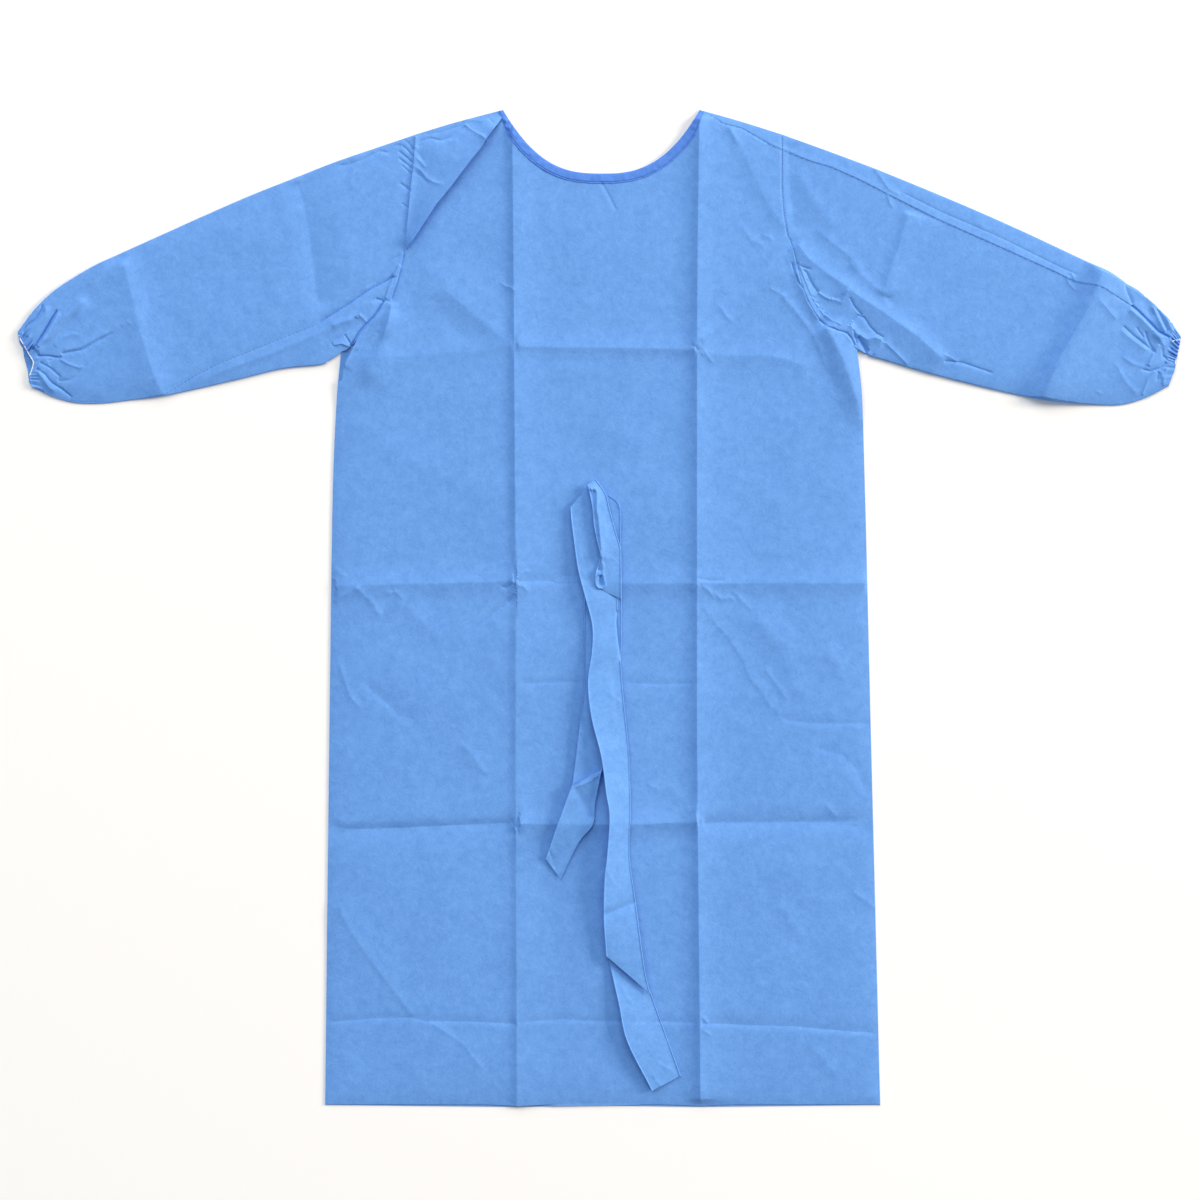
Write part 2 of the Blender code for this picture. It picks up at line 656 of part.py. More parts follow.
def cuff_line(row, end, share, step, notch):
    """A point of a cuff band: step 0 is its seam to the sleeve and 1 its open end."""
    start = np.array(row[0:2]) + (np.array(row[2:4]) - np.array(row[0:2])) * share
    finish = np.array(end[0:2]) + (np.array(end[2:4]) - np.array(end[0:2])) * share
    inward = start - finish
    inward /= np.hypot(*inward)
    finish = finish + inward * notch * sin(pi * share)
    start = start - inward * GAP
    return start + (finish - start) * step


def cuff(side, rows, end, notch):
    row = rows[-1]
    top_rows = []
    low_rows = []
    back_top = []
    back_low = []
    shares = np.linspace(0.0, 1.0, CUFF_STEPS + 1)
    fullness = np.abs(np.sin(pi * shares)) ** 0.5
    wave = GATHER_HEIGHT * fullness * (0.5 - 0.5 * np.cos(2 * pi * CUFF_GATHERS * shares))
    height = EDGE_TOP + CUFF_PUFF * fullness + wave
    for step in CUFF_SECTIONS:
        front_plan = np.array([cuff_line(row, end, share, step, notch) for share in shares])
        top_rows.append([(*point, z) for point, z in zip(front_plan, height)])
        low_rows.append([(*point, z - WALL) for point, z in zip(front_plan, height)])
        back_plan = np.array([cuff_line(row, end, share, step, 0.0) for share in shares[::2]])
        back_top.append([(*point, BACK_TOP) for point in back_plan])
        back_low.append([(*point, 0.0) for point in back_plan])
    wall("cuff_" + side + "_front", top_rows, low_rows, "cuff")
    wall("cuff_" + side + "_back", back_top, back_low, "cuff")


def tape_piece(name, rows, steps):
    """A folded tape over the front, each section a straight line between its two edges."""
    top = []
    low = []
    for row in rows:
        left = np.array([row.left_x, row.left_y])
        right = np.array([row.right_x, row.right_y])
        shares = np.linspace(0.0, 1.0, steps + 1)
        plan = left + (right - left) * shares[:, None]
        lift = row.left_lift + (row.right_lift - row.left_lift) * shares
        under = cloth_top(plan) + lift
        top.append([(*point, z + WALL) for point, z in zip(plan, under)])
        low.append([(*point, z) for point, z in zip(plan, under)])
    return wall(name, top, low, "belt")


def belt():
    tape_piece("belt_short_tail", BELT_SHORT_TAIL, 3)
    tape_piece("belt_long_tail", BELT_LONG_TAIL, 3)
    tape_piece("belt_long_tail_end", BELT_LONG_TAIL_END, 3)
    tape_piece("belt_sewn_end", BELT_SEWN_END, 2)


clear_scene()
GOWN = bpy.data.collections.new("surgical_gown")
bpy.context.scene.collection.children.link(GOWN)
front()
backs()
neck_bindings()
sleeves()
cuff("left", SLEEVE_LEFT, CUFF_END_LEFT, CUFF_NOTCH)
cuff("right", SLEEVE_RIGHT, CUFF_END_RIGHT, 0.0)
belt()
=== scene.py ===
# Looks of a surgical gown of thin blue nonwoven cloth, laid flat on a pale table, front up.
# Metres, in the solids' frame. Places read off the photo are in its own 1200-pixel frame
# and spot() puts them on the gown. Each piece of cloth is a thin shell on its solid's form.
import math
from collections import namedtuple

import bmesh
import bpy
import numpy as np
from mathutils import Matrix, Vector
from mathutils.geometry import delaunay_2d_cdt
from mathutils.kdtree import KDTree


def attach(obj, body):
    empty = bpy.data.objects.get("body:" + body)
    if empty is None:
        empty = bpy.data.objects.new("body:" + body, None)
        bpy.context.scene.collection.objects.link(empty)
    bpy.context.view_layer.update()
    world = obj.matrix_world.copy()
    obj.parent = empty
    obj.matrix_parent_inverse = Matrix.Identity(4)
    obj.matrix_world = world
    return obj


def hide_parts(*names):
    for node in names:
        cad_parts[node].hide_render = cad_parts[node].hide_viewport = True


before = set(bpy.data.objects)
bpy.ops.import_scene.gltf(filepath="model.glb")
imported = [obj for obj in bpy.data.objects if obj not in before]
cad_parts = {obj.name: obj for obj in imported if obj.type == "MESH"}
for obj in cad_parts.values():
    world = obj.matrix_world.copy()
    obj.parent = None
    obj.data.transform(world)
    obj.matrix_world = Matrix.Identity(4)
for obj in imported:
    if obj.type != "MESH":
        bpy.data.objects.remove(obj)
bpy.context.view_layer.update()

scene = bpy.context.scene


# The table, the light and the camera
# A plain pale light table under a very large soft lamp beyond the neck, a smaller low one on
# the right and an even pale surround. The camera looks straight down, as the photo does.
PHOTO_WIDTH = 1.4448
PHOTO_MIDDLE = (0.0008, 0.0100)
CAMERA_HEIGHT = 4.0
SENSOR_MM = 36.0
TABLE_HALF = 8.0
TABLE_DROP = 0.0002
TABLE_TONE = (0.86, 0.86, 0.86, 1.0)
TABLE_GLOW = 0.08
MAIN_LAMP = ((-1.3, 9.1, 7.7), 14.0, 1650.0, (1.0, 0.985, 0.96))
SIDE_LAMP = ((12.1, 3.9, 4.65), 4.5, 1860.0, (1.18, 1.0, 0.80))
SURROUND = 0.265
SURROUND_TINT = (0.84, 0.97, 1.12, 1.0)
WHITE = (1.0, 1.0, 1.0, 1.0)


def new_material(name, roughness, specular=0.5, sheen=0.0):
    """A material, its node tree and its shader with the plain values set."""
    material = bpy.data.materials.new(name)
    material.use_nodes = True
    tree = material.node_tree
    shader = tree.nodes["Principled BSDF"]
    shader.inputs["Roughness"].default_value = roughness
    shader.inputs["Specular IOR Level"].default_value = specular
    shader.inputs["Sheen Weight"].default_value = sheen
    return material, tree, shader


def placed_object(name, data):
    """An object of the scene that holds some mesh, lamp or camera."""
    thing = bpy.data.objects.new(name, data)
    scene.collection.objects.link(thing)
    return thing


scene.view_settings.view_transform = "Standard"
scene.view_settings.look = "None"

table_mesh = bpy.data.meshes.new("table_top")
table_form = bmesh.new()
bmesh.ops.create_grid(table_form, x_segments=1, y_segments=1, size=TABLE_HALF)
table_form.to_mesh(table_mesh)
table_form.free()
table = placed_object("table_top", table_mesh)
table.location.z = -TABLE_DROP

paint, _, paint_shader = new_material("table_paint", 0.85, 0.1)
paint_shader.inputs["Base Color"].default_value = TABLE_TONE
paint_shader.inputs["Emission Color"].default_value = WHITE
paint_shader.inputs["Emission Strength"].default_value = TABLE_GLOW
table_mesh.materials.append(paint)

for place, size, power, tint in (MAIN_LAMP, SIDE_LAMP):
    lamp = bpy.data.lights.new("soft_lamp", "AREA")
    lamp.shape = "SQUARE"
    lamp.size = size
    lamp.energy = power
    lamp.color = tint
    lamp_object = placed_object("soft_lamp", lamp)
    lamp_object.location = place
    lamp_object.rotation_euler = (-Vector(place)).to_track_quat("-Z", "Y").to_euler()
    lamp_object.visible_camera = False

world = bpy.data.worlds.new("pale_surround")
world.use_nodes = True
background = world.node_tree.nodes["Background"]
background.inputs["Color"].default_value = SURROUND_TINT
background.inputs["Strength"].default_value = SURROUND
scene.world = world

camera = bpy.data.cameras.new("camera")
camera.sensor_width = SENSOR_MM
camera.lens = SENSOR_MM * CAMERA_HEIGHT / PHOTO_WIDTH
camera_object = placed_object("camera", camera)
camera_object.location = (*PHOTO_MIDDLE, CAMERA_HEIGHT)
scene.camera = camera_object


# The cut of the gown
# The gown is cut from flat cloth, so its outline in plan and a table of sections along each
# sleeve give every edge. Round stretches are smooth curves through the sizes given here.
NECK_TOP = 0.600
HEM = -0.598
HEM_AT_CREASE = -0.600
HEM_DIPS = (-0.098, 0.1215)
HEM_DIP_REACH = 0.040
CLOTH = 0.0006
PIXEL = 0.001204
PHOTO_ORIGIN = (599.3, 608.3)
OUTLINE_STEP = 0.002
TURNS_BETWEEN = 12

SIDE_LEFT = [(-0.311, 0.3075), (-0.316, 0.251), (-0.321, 0.130), (-0.325, -0.159), (-0.330, HEM)]
SIDE_RIGHT = [(0.310, 0.311), (0.316, 0.251), (0.320, 0.130), (0.327, -0.159), (0.338, HEM)]
ARMHOLE_LEFT = [
    (-0.222, 0.570), (-0.224, 0.534), (-0.228, 0.492), (-0.235, 0.430), (-0.2445, 0.397),
    (-0.252, 0.372), (-0.265, 0.356), (-0.291, 0.326), (-0.311, 0.3075),
]
ARMHOLE_RIGHT = [
    (0.221, 0.570), (0.220, 0.531), (0.222, 0.492), (0.227, 0.453), (0.232, 0.428),
    (0.240, 0.391), (0.259, 0.361), (0.286, 0.334), (0.310, 0.311),
]
SHOULDER_LEFT = [(-0.222, 0.570), (-0.180, 0.583), (-0.116, NECK_TOP)]
SHOULDER_RIGHT = [(0.121, NECK_TOP), (0.180, 0.583), (0.221, 0.570)]
SHOULDER_SEAM = [(0.126, 0.5985), (0.172, 0.5785), (0.221, 0.5535)]

Station = namedtuple("Station", "top_x top_y bottom_x bottom_y seam")
SLEEVE_LEFT = [
    Station(-0.222, 0.5700, -0.311, 0.3075, 0.600),
    Station(-0.270, 0.5535, -0.319, 0.3015, 0.720),
    Station(-0.318, 0.5370, -0.327, 0.2970, 0.767),
    Station(-0.366, 0.5180, -0.335, 0.2930, 0.782),
    Station(-0.420, 0.4965, -0.380, 0.2885, 0.839),
    Station(-0.475, 0.4725, -0.430, 0.2765, 0.867),
    Station(-0.527, 0.4490, -0.480, 0.2650, 0.910),
    Station(-0.577, 0.4265, -0.527, 0.2550, 0.984),
    Station(-0.608, 0.4120, -0.562, 0.2510, 0.986),
    Station(-0.634, 0.3970, -0.595, 0.2470, 0.986),
    Station(-0.655, 0.3830, -0.626, 0.2470, 0.984),
    Station(-0.672, 0.3680, -0.648, 0.2515, 0.982),
    Station(-0.686, 0.3525, -0.668, 0.2590, 0.980),
]
SLEEVE_RIGHT = [
    Station(0.221, 0.5700, 0.310, 0.3110, 0.062),
    Station(0.272, 0.5515, 0.318, 0.3070, 0.080),
    Station(0.328, 0.5305, 0.327, 0.3030, 0.097),
    Station(0.380, 0.5095, 0.340, 0.2995, 0.121),
    Station(0.440, 0.4845, 0.387, 0.2855, 0.138),
    Station(0.500, 0.4580, 0.435, 0.2730, 0.146),
    Station(0.560, 0.4300, 0.485, 0.2610, 0.151),
    Station(0.610, 0.4060, 0.532, 0.2510, 0.130),
    Station(0.633, 0.3915, 0.567, 0.2470, 0.125),
    Station(0.652, 0.3800, 0.600, 0.2450, 0.163),
    Station(0.668, 0.3660, 0.628, 0.2450, 0.180),
    Station(0.680, 0.3540, 0.652, 0.2510, 0.204),
    Station(0.690, 0.3425, 0.672, 0.2600, 0.190),
]
CUFF_END_LEFT = ((-0.700, 0.3340), (-0.680, 0.2655))
CUFF_END_RIGHT = ((0.700, 0.3280), (0.685, 0.2670))


def spot(x, y):
    """A place on the gown in metres from a place in the photo's 1200-pixel frame."""
    return ((x - PHOTO_ORIGIN[0]) * PIXEL, (PHOTO_ORIGIN[1] - y) * PIXEL)


def spots(path):
    return np.array([spot(x, y) for x, y in path])


def smooth_step(value):
    value = np.clip(value, 0.0, 1.0)
    return value * value * (3.0 - 2.0 * value)


def lengths_along(line):
    return np.concatenate([[0.0], np.cumsum(np.hypot(*np.diff(line[:, :2], axis=0).T))])


def evenly(line, step):
    """A polyline drawn again with points at one even spacing, its two ends kept."""
    line = np.asarray(line, float)
    along = lengths_along(line)
    count = max(1, round(along[-1] / step))
    places = np.linspace(0.0, along[-1], count + 1)
    return np.column_stack([np.interp(places, along, column) for column in line.T])


def eased(line, step=OUTLINE_STEP):
    """A smooth curve through a table's points, drawn with points at one even spacing."""
    table = np.asarray(line, float)
    padded = np.vstack([2 * table[0] - table[1], table, 2 * table[-1] - table[-2]])
    out = []
    for before, start, end, after in zip(padded, padded[1:], padded[2:], padded[3:]):
        for t in np.linspace(0.0, 1.0, TURNS_BETWEEN, endpoint=False):
            bend = 2 * start + (end - before) * t
            bend = bend + (2 * before - 5 * start + 4 * end - after) * t * t
            bend = bend + (3 * start - before - 3 * end + after) * t ** 3
            out.append(bend / 2)
    return evenly(np.array(out + [table[-1]]), step)


def hem_line(shift=0.0):
    """The hem from left to right, which dips a little where the packing creases cross it."""
    line = [SIDE_LEFT[-1]]
    for x in HEM_DIPS:
        line += [(x - HEM_DIP_REACH, HEM), (x, HEM_AT_CREASE), (x + HEM_DIP_REACH, HEM)]
    return np.array(line + [SIDE_RIGHT[-1]]) + [0.0, shift]


TOP = slice(0, 2)
BOTTOM = slice(2, 4)


def sleeve_edge(rows, side, end):
    """One edge of a sleeve, TOP or BOTTOM, from the body to the cuff's own end."""
    return [tuple(row[side]) for row in rows] + [end]


OUTER_LINE = np.vstack([
    eased(SHOULDER_LEFT[::-1]),
    eased(sleeve_edge(SLEEVE_LEFT, TOP, CUFF_END_LEFT[0])),
    eased(sleeve_edge(SLEEVE_LEFT, BOTTOM, CUFF_END_LEFT[1]))[::-1],
    eased(SIDE_LEFT),
    evenly(hem_line(), OUTLINE_STEP),
    eased(SIDE_RIGHT)[::-1],
    eased(sleeve_edge(SLEEVE_RIGHT, BOTTOM, CUFF_END_RIGHT[1])),
    eased(sleeve_edge(SLEEVE_RIGHT, TOP, CUFF_END_RIGHT[0]))[::-1],
    eased(SHOULDER_RIGHT)[::-1],
])
OUTER_LINE = evenly(OUTER_LINE, OUTLINE_STEP)


# The lie of the cloth
# Nonwoven holds every crease that it was packed with. Each fold is a ridge or trough, given as
# a path in photo pixels, its rise, its reach on the left and the right hand of someone
# walking the path, how blunt its crest is, and how long it fades at each end, in millimetres.
Fold = namedtuple("Fold", "path rise left right blunt fade", defaults=(0.8, (10, 10)))
MM = 0.001
BODY_LEVEL = 0.0038
SLEEVE_LEVEL = 0.0056
BODY_EDGE = 0.0013
SLEEVE_EDGE = 0.0035
EDGE_REACH = 0.016
ARM_START = 0.225
ARM_BLEND = 0.100
SLEEVE_FROM = 0.23
SLEEVE_BLEND = 0.05
Swell = namedtuple("Swell", "rise size seed")
SWELLS = [Swell(0.0009, 0.21, 3), Swell(0.0004, 0.070, 4), Swell(0.00012, 0.024, 5)]
LOWEST_CLOTH = 0.0013
HIGHEST_CLOTH = 0.0170
FOLD_SLOPE = 0.3
FOLD_CREST = 3.37
WAVES = 14
WAVE_SPREAD = (0.7, 1.6)
WAVE_CREST = 1.6

RIGHT_UPRIGHT = [(699.3, 113), (697.3, 250), (696.8, 350), (696.8, 740), (698.3, 900), (700.3, 1105)]
PACKING_CREASES = [
    Fold([(512.4, 131), (514, 300), (515, 480), (516, 582)], 3.3, 32, 6.5, 0.4, (0, 0)),
    Fold([(516, 582), (516, 800), (517, 1105)], 2.0, 32, 6.5, 0.4, (0, 0)),
    Fold([(512.4, 131), (514, 300), (515, 480), (516, 800), (517, 1105)], 0.8, 34, 22, 0.5, (0, 0)),
    Fold(RIGHT_UPRIGHT, 1.5, 12, 6, 0.4),
    Fold(RIGHT_UPRIGHT, 3.8, 36, 15, 0.5),
    Fold([(516, 346.7), (560, 347.7), (620, 348.2), (697, 349.7)], 1.9, 17, 8, 0.7, (4, 4)),
    Fold([(344, 361), (383, 358), (430, 355), (470, 352), (514, 346)], 1.0, 12, 14, 1.2, (30, 4)),
    Fold([(699, 345), (704, 350), (713, 354), (724, 356), (770, 356), (785, 360), (812, 368)],
         1.4, 12, 12, 0.8, (0, 20)),
    Fold([(334, 586.4), (345, 585.4), (390, 584.4), (440, 583.4), (515, 581.4)], 2.5, 17, 17, 0.6, (3, 3)),
    Fold([(517, 581.5), (545, 581), (577, 580), (594, 579)], -1.2, 12, 4.5, 0.4, (3, 6)),
    Fold([(606, 584), (697, 583.2), (780, 583.2), (867, 583.2)], 2.4, 18, 14, 0.6, (22, 3)),
    Fold([(327, 829.8), (400, 827.8), (460, 824.8), (515, 822.6)], -2.3, 6.5, 20, 0.6, (3, 3)),
    Fold([(518, 823.2), (575, 824.2), (640, 823.8), (699, 821.6)], 3.1, 20, 12, 0.6, (3, 3)),
    Fold([(702, 822.6), (790, 821.8), (874, 821.6)], -2.2, 10, 13, 0.6, (3, 3)),
    Fold([(327, 1021.8), (377, 1018), (410, 1017.3), (428.5, 1021), (469, 1021), (516.5, 1023.5)],
         -0.8, 6, 2.8, 0.5, (0, 2)),
    Fold([(518.5, 1022.8), (528, 1021), (561, 1019), (605, 1021), (640, 1021), (697, 1022)],
         -0.7, 6, 2.8, 0.5, (2, 4)),
    Fold([(700.8, 1023), (718.4, 1023), (753.5, 1025), (796, 1026), (822, 1028.6), (855, 1031.4),
          (877, 1032.3)], -1.1, 9, 3, 0.5, (2, 0)),
    Fold([(518, 684), (560, 682), (582, 682)], -0.5, 5, 2.6, 0.5, (10, 6)),
    Fold([(626, 683), (660, 684), (697, 683)], -0.5, 5, 2.6, 0.5, (6, 10)),
]

SHOULDER_FOLDS = [
    Fold([(480, 134), (488, 142)], 0.7, 3, 3, 0.6, (3, 3)),
    Fold([(464, 124), (471, 130), (479, 135), (486, 139.5)], 0.8, 2.0, 2.0, 0.4, (3, 3)),
    Fold([(417, 147), (421, 141.5), (430, 138.5), (441, 141), (452, 137.5), (460, 130.5), (467, 126)],
         -1.0, 1.8, 2.2, 0.5, (2, 4)),
    Fold([(424, 134.5), (440, 132.5), (454, 128), (463, 125.5)], -0.7, 1.8, 1.8, 0.5, (4, 3)),
    Fold([(447, 143), (460, 141)], 0.5, 3, 3, 0.8, (4, 4)),
    Fold([(462, 121), (472, 120.5), (482, 121.5), (490, 118.5)], 0.7, 1.8, 1.8, 0.5, (3, 3)),
    Fold([(486.6, 116.8), (491, 121), (495, 125.3)], -0.6, 1.6, 1.6, 0.4, (2, 2)),
    Fold([(337, 166), (348, 165), (361, 160.5), (371.5, 155), (380.5, 151.5), (388, 153), (395, 146),
          (402, 145)], -0.9, 1.8, 2.2, 0.5, (6, 3)),
    Fold([(372, 154), (380, 153), (390, 146)], 0.5, 2.5, 2.5, 0.6, (4, 4)),
    Fold([(722, 122), (737.5, 139.4), (751.4, 170.6), (767, 202), (786, 231)],
         1.2, 20, 11, 0.9, (4, 12)),
    Fold([(601.5, 183), (608, 194.3), (617, 212)], -0.6, 1.6, 2.6, 0.5, (0, 6)),
    Fold([(728, 127), (733, 134), (738, 148)], 0.8, 4, 4, 0.6, (2, 8)),
]

LEFT_ARMHOLE_FOLDS = [
    Fold([(415.6, 136), (413.6, 165), (410.6, 190), (405, 251)], 1.9, 5.5, 0.9, 0.3, (1, 14)),
    Fold([(403, 139), (408, 143), (414, 150)], -0.7, 1.3, 1.3, 0.3, (3, 0)),
    Fold([(401, 145), (407, 150), (413, 157)], -0.9, 1.4, 1.4, 0.3, (3, 0)),
    Fold([(398, 151), (406, 157.5), (412.5, 163)], -1.0, 1.6, 1.6, 0.3, (3, 0)),
    Fold([(398, 158), (406, 164), (412, 169)], -0.9, 1.4, 1.4, 0.3, (3, 0)),
    Fold([(401, 165), (411, 174)], -0.7, 1.3, 1.3, 0.3, (3, 0)),
    Fold([(399, 183), (406, 187.5), (410, 191)], -1.0, 1.6, 1.6, 0.3, (4, 0)),
    Fold([(401, 203), (408, 208)], -0.7, 1.3, 1.3, 0.3, (3, 0)),
    Fold([(417, 159), (421, 162), (426, 169)], 0.8, 2.2, 2.2, 0.5, (0, 4)),
    Fold([(417, 168), (421, 171), (427, 179), (436, 184), (447, 185)], 0.9, 2.6, 2.6, 0.6, (0, 10)),
    Fold([(416, 173), (423, 178), (430, 186)], -0.6, 2.5, 2.5, 0.6, (0, 8)),
    Fold([(414, 150), (420, 155), (424, 163)], -0.5, 2.2, 2.2, 0.6, (0, 5)),
    Fold([(400, 264), (394.5, 276), (390, 286), (385.5, 299)], 1.2, 5, 0.9, 0.3, (3, 1)),
    Fold([(404.6, 252), (401.6, 266.5), (397, 284), (391, 301)], -1.5, 1.3, 0.9, 0.3, (6, 3)),
    Fold([(386, 301), (381, 310), (375, 318.5), (368, 324.5), (360.5, 334), (355.5, 343),
          (351, 349.5), (347.5, 357.5), (343, 368)], 1.6, 6, 0.6, 0.3, (1, 4)),
    Fold([(384, 301.5), (380, 309), (374, 317.5), (367, 323.5), (359, 333), (354, 342),
          (350, 349)], -1.6, 0.8, 2.4, 0.3, (1, 1)),
    Fold([(391.5, 305), (390.5, 318), (386, 332), (381.5, 346), (378, 358), (371, 370), (362, 390)],
         4.2, 26, 12, 2.0, (22, 26)),
    Fold([(391.3, 301), (391, 309), (389, 320), (384.5, 334), (381, 345)],
         2.7, 12, 5.2, 0.8, (7, 24)),
    Fold([(381, 327), (372, 334), (364, 342), (356, 352)], 0.9, 3, 3, 0.7, (5, 5)),
    Fold([(378, 333), (372, 341), (362, 354), (348, 371)], 0.9, 3, 3, 0.6, (5, 5)),
    Fold([(375, 299), (380, 300), (385.5, 302)], -1.2, 1.4, 1.6, 0.3, (2, 0)),
    Fold([(375, 300), (367, 307), (359, 314.5), (350, 319), (330, 327)], 1.1, 7, 3, 0.8, (6, 6)),
    Fold([(359, 315), (363, 318), (367.5, 323)], 0.9, 2, 2, 0.4, (1, 1)),
    Fold([(356.5, 317), (350, 325), (343, 333), (332, 346)], -1.3, 5, 1.2, 0.4, (2, 1)),
    Fold([(344.5, 334.5), (348, 340), (352, 346.5)], -1.2, 1.2, 1.2, 0.25, (1, 0)),
    Fold([(333, 345.5), (342, 344), (351, 347.5)], 1.4, 4, 1.0, 0.4, (1, 1)),
    Fold([(402, 255), (393.3, 259.4), (385, 266.5), (377, 276.7), (366, 289)], -0.8, 1.8, 3, 0.4, (7, 8)),
    Fold([(391, 285), (386, 291), (382, 297)], 0.5, 2, 2, 0.5, (2, 2)),
    Fold([(411, 250), (430, 270), (463, 300), (510, 345)], 1.4, 24, 24, 6, (50, 30)),
    Fold([(420, 300), (452, 322), (476, 344)], -0.9, 18, 18, 6, (16, 16)),
    Fold([(500, 282), (506, 287), (511, 288), (515, 292)], 0.6, 2, 2, 0.5, (3, 2)),
    Fold([(440, 285), (455, 299), (470, 312), (486, 325), (502, 338), (511, 344)],
         0.9, 10, 14, 0.7, (16, 3)),
]

RIGHT_ARMHOLE_FOLDS = [
    Fold([(781.4, 137), (781.4, 165), (781.4, 190), (783.4, 215), (787.4, 238)],
         -0.5, 1.1, 1.0, 0.25, (1, 1)),
    Fold([(788, 140), (789, 165), (790, 190), (793, 215), (797, 236)], -1.4, 26, 6, 1.5, (10, 14)),
    Fold([(789, 238), (793, 250), (796, 262), (799.5, 278), (803, 289.5), (807.5, 301),
          (814.5, 313.5), (820, 321.5)], -0.7, 0.9, 0.8, 0.25, (1, 1)),
    Fold([(819, 320.5), (828, 327.5), (837.5, 331), (846.5, 333.5), (851, 339), (854.5, 346)],
         -1.7, 1.4, 1.2, 0.3, (1, 1)),
    Fold([(802, 270), (805.5, 272.5)], -0.6, 1.2, 1.2, 0.3, (1, 1)),
    Fold([(805, 280), (809, 282)], -0.7, 1.2, 1.2, 0.3, (1, 1)),
    Fold([(810.5, 296), (815, 298.5)], -0.8, 1.2, 1.2, 0.3, (1, 1)),
    Fold([(814, 302), (819, 304.5)], -0.8, 1.3, 1.3, 0.3, (1, 1)),
    Fold([(817.5, 307.5), (822.5, 310.5)], -0.8, 1.2, 1.2, 0.3, (1, 1)),
    Fold([(822.5, 313), (827.5, 315)], -0.8, 1.2, 1.2, 0.3, (1, 1)),
    Fold([(791, 262), (794, 273), (797, 281), (802.5, 289)], -1.0, 1.2, 1.2, 0.3, (3, 1)),
    Fold([(798, 262), (803, 276), (809, 291), (815, 303), (822, 313), (830, 320), (842, 326)],
         0.9, 3.0, 1.0, 0.5, (3, 3)),
    Fold([(796.5, 263), (801, 267), (807, 269), (812, 270)], -0.9, 1.4, 1.6, 0.4, (1, 4)),
    Fold([(804.5, 270), (808, 277), (811, 283.5), (818, 293.5)], -1.1, 1.6, 2.2, 0.4, (2, 1)),
    Fold([(818, 293), (824, 297), (830.5, 300.5)], 1.0, 2.0, 2.0, 0.4, (1, 1)),
    Fold([(830.5, 300), (835, 300), (841, 303), (845, 297), (848, 290)], 1.0, 2.2, 2.6, 0.5, (1, 1)),
    Fold([(832, 298), (838, 299), (843, 294)], -0.7, 2, 2, 0.6, (2, 2)),
    Fold([(849, 297.5), (853.5, 306.5), (858, 312), (862, 316)], -1.2, 1.6, 1.2, 0.3, (2, 1)),
    Fold([(852, 321), (857, 315.5), (864, 318), (869.5, 327), (876.5, 334), (883.5, 338)],
         -1.1, 1.2, 2.2, 0.35, (1, 2)),
    Fold([(796, 243), (808.5, 259.5), (826, 273.5), (846.5, 287), (858, 296.5), (885.5, 314.5),
          (918, 337.5), (940.5, 358), (945, 361.5)], 3.0, 10, 21, 0.6, (3, 6)),
    Fold([(812, 262), (826, 278), (840, 289)], -1.0, 9, 9, 3, (8, 8)),
    Fold([(945, 361.5), (952, 362), (962, 363), (994, 374)], -1.0, 1.5, 1.6, 0.35, (0, 6)),
    Fold([(942, 354), (950, 358), (958, 363)], 0.8, 2.2, 2.2, 0.5, (4, 3)),
    Fold([(884, 342), (895, 352.5), (908, 365.5)], 0.9, 3.0, 2.2, 0.4, (2, 2)),
    Fold([(850, 325), (853.5, 332), (860, 336), (867.5, 340), (874, 338), (883, 341)],
         2.0, 3.5, 7.0, 0.6, (1, 3)),
    Fold([(853, 330), (854.5, 337), (857, 344)], -1.8, 1.4, 1.4, 0.3, (1, 1)),
    Fold([(857, 336), (862, 344), (867, 353)], -3.4, 3.0, 2.6, 0.6, (2, 1)),
    Fold([(884, 342), (879, 349), (874, 355)], 1.0, 1.8, 3.0, 0.4, (1, 1)),
    Fold([(795, 268), (799.5, 280), (804, 292), (811.5, 308), (820, 321)],
         2.4, 6.5, 6.5, 0.7, (9, 6)),
    Fold([(824, 324), (835, 344), (842, 358), (849, 378), (857, 402), (861, 440)],
         5.6, 22, 18, 1.5, (8, 50)),
    Fold([(804, 322), (816, 344), (826, 372), (840, 402)], -1.1, 7, 14, 3, (10, 30)),
    Fold([(780, 295), (792.5, 307.5), (807.5, 327), (818, 345.5), (827, 372)],
         0.8, 4, 4, 0.7, (6, 14)),
    Fold([(768, 288), (778, 293), (788, 299)], 0.7, 3, 3, 0.6, (5, 5)),
    Fold([(719, 305), (727, 318), (734, 323)], 0.7, 3, 3, 0.6, (4, 6)),
    Fold([(740, 225), (752, 241), (766, 247)], 0.6, 4, 4, 0.8, (8, 6)),
    Fold([(760, 234), (768, 237), (774, 243)], 0.6, 3, 3, 0.6, (5, 5)),
    Fold([(700, 344), (715, 328.5), (730.6, 313), (760, 289), (788, 265)],
         0.9, 12, 8, 0.6, (4, 14)),
    Fold([(795, 168), (800, 178), (806, 190), (822, 213), (840, 232)], 1.1, 9, 12, 2.0, (6, 20)),
    Fold([(815, 228), (832, 243), (850, 257), (862, 272)], 0.8, 5, 5, 1.0, (8, 8)),
    Fold([(848, 262), (862, 276), (880, 292), (890, 312)], 0.9, 5, 7, 0.8, (6, 4)),
]

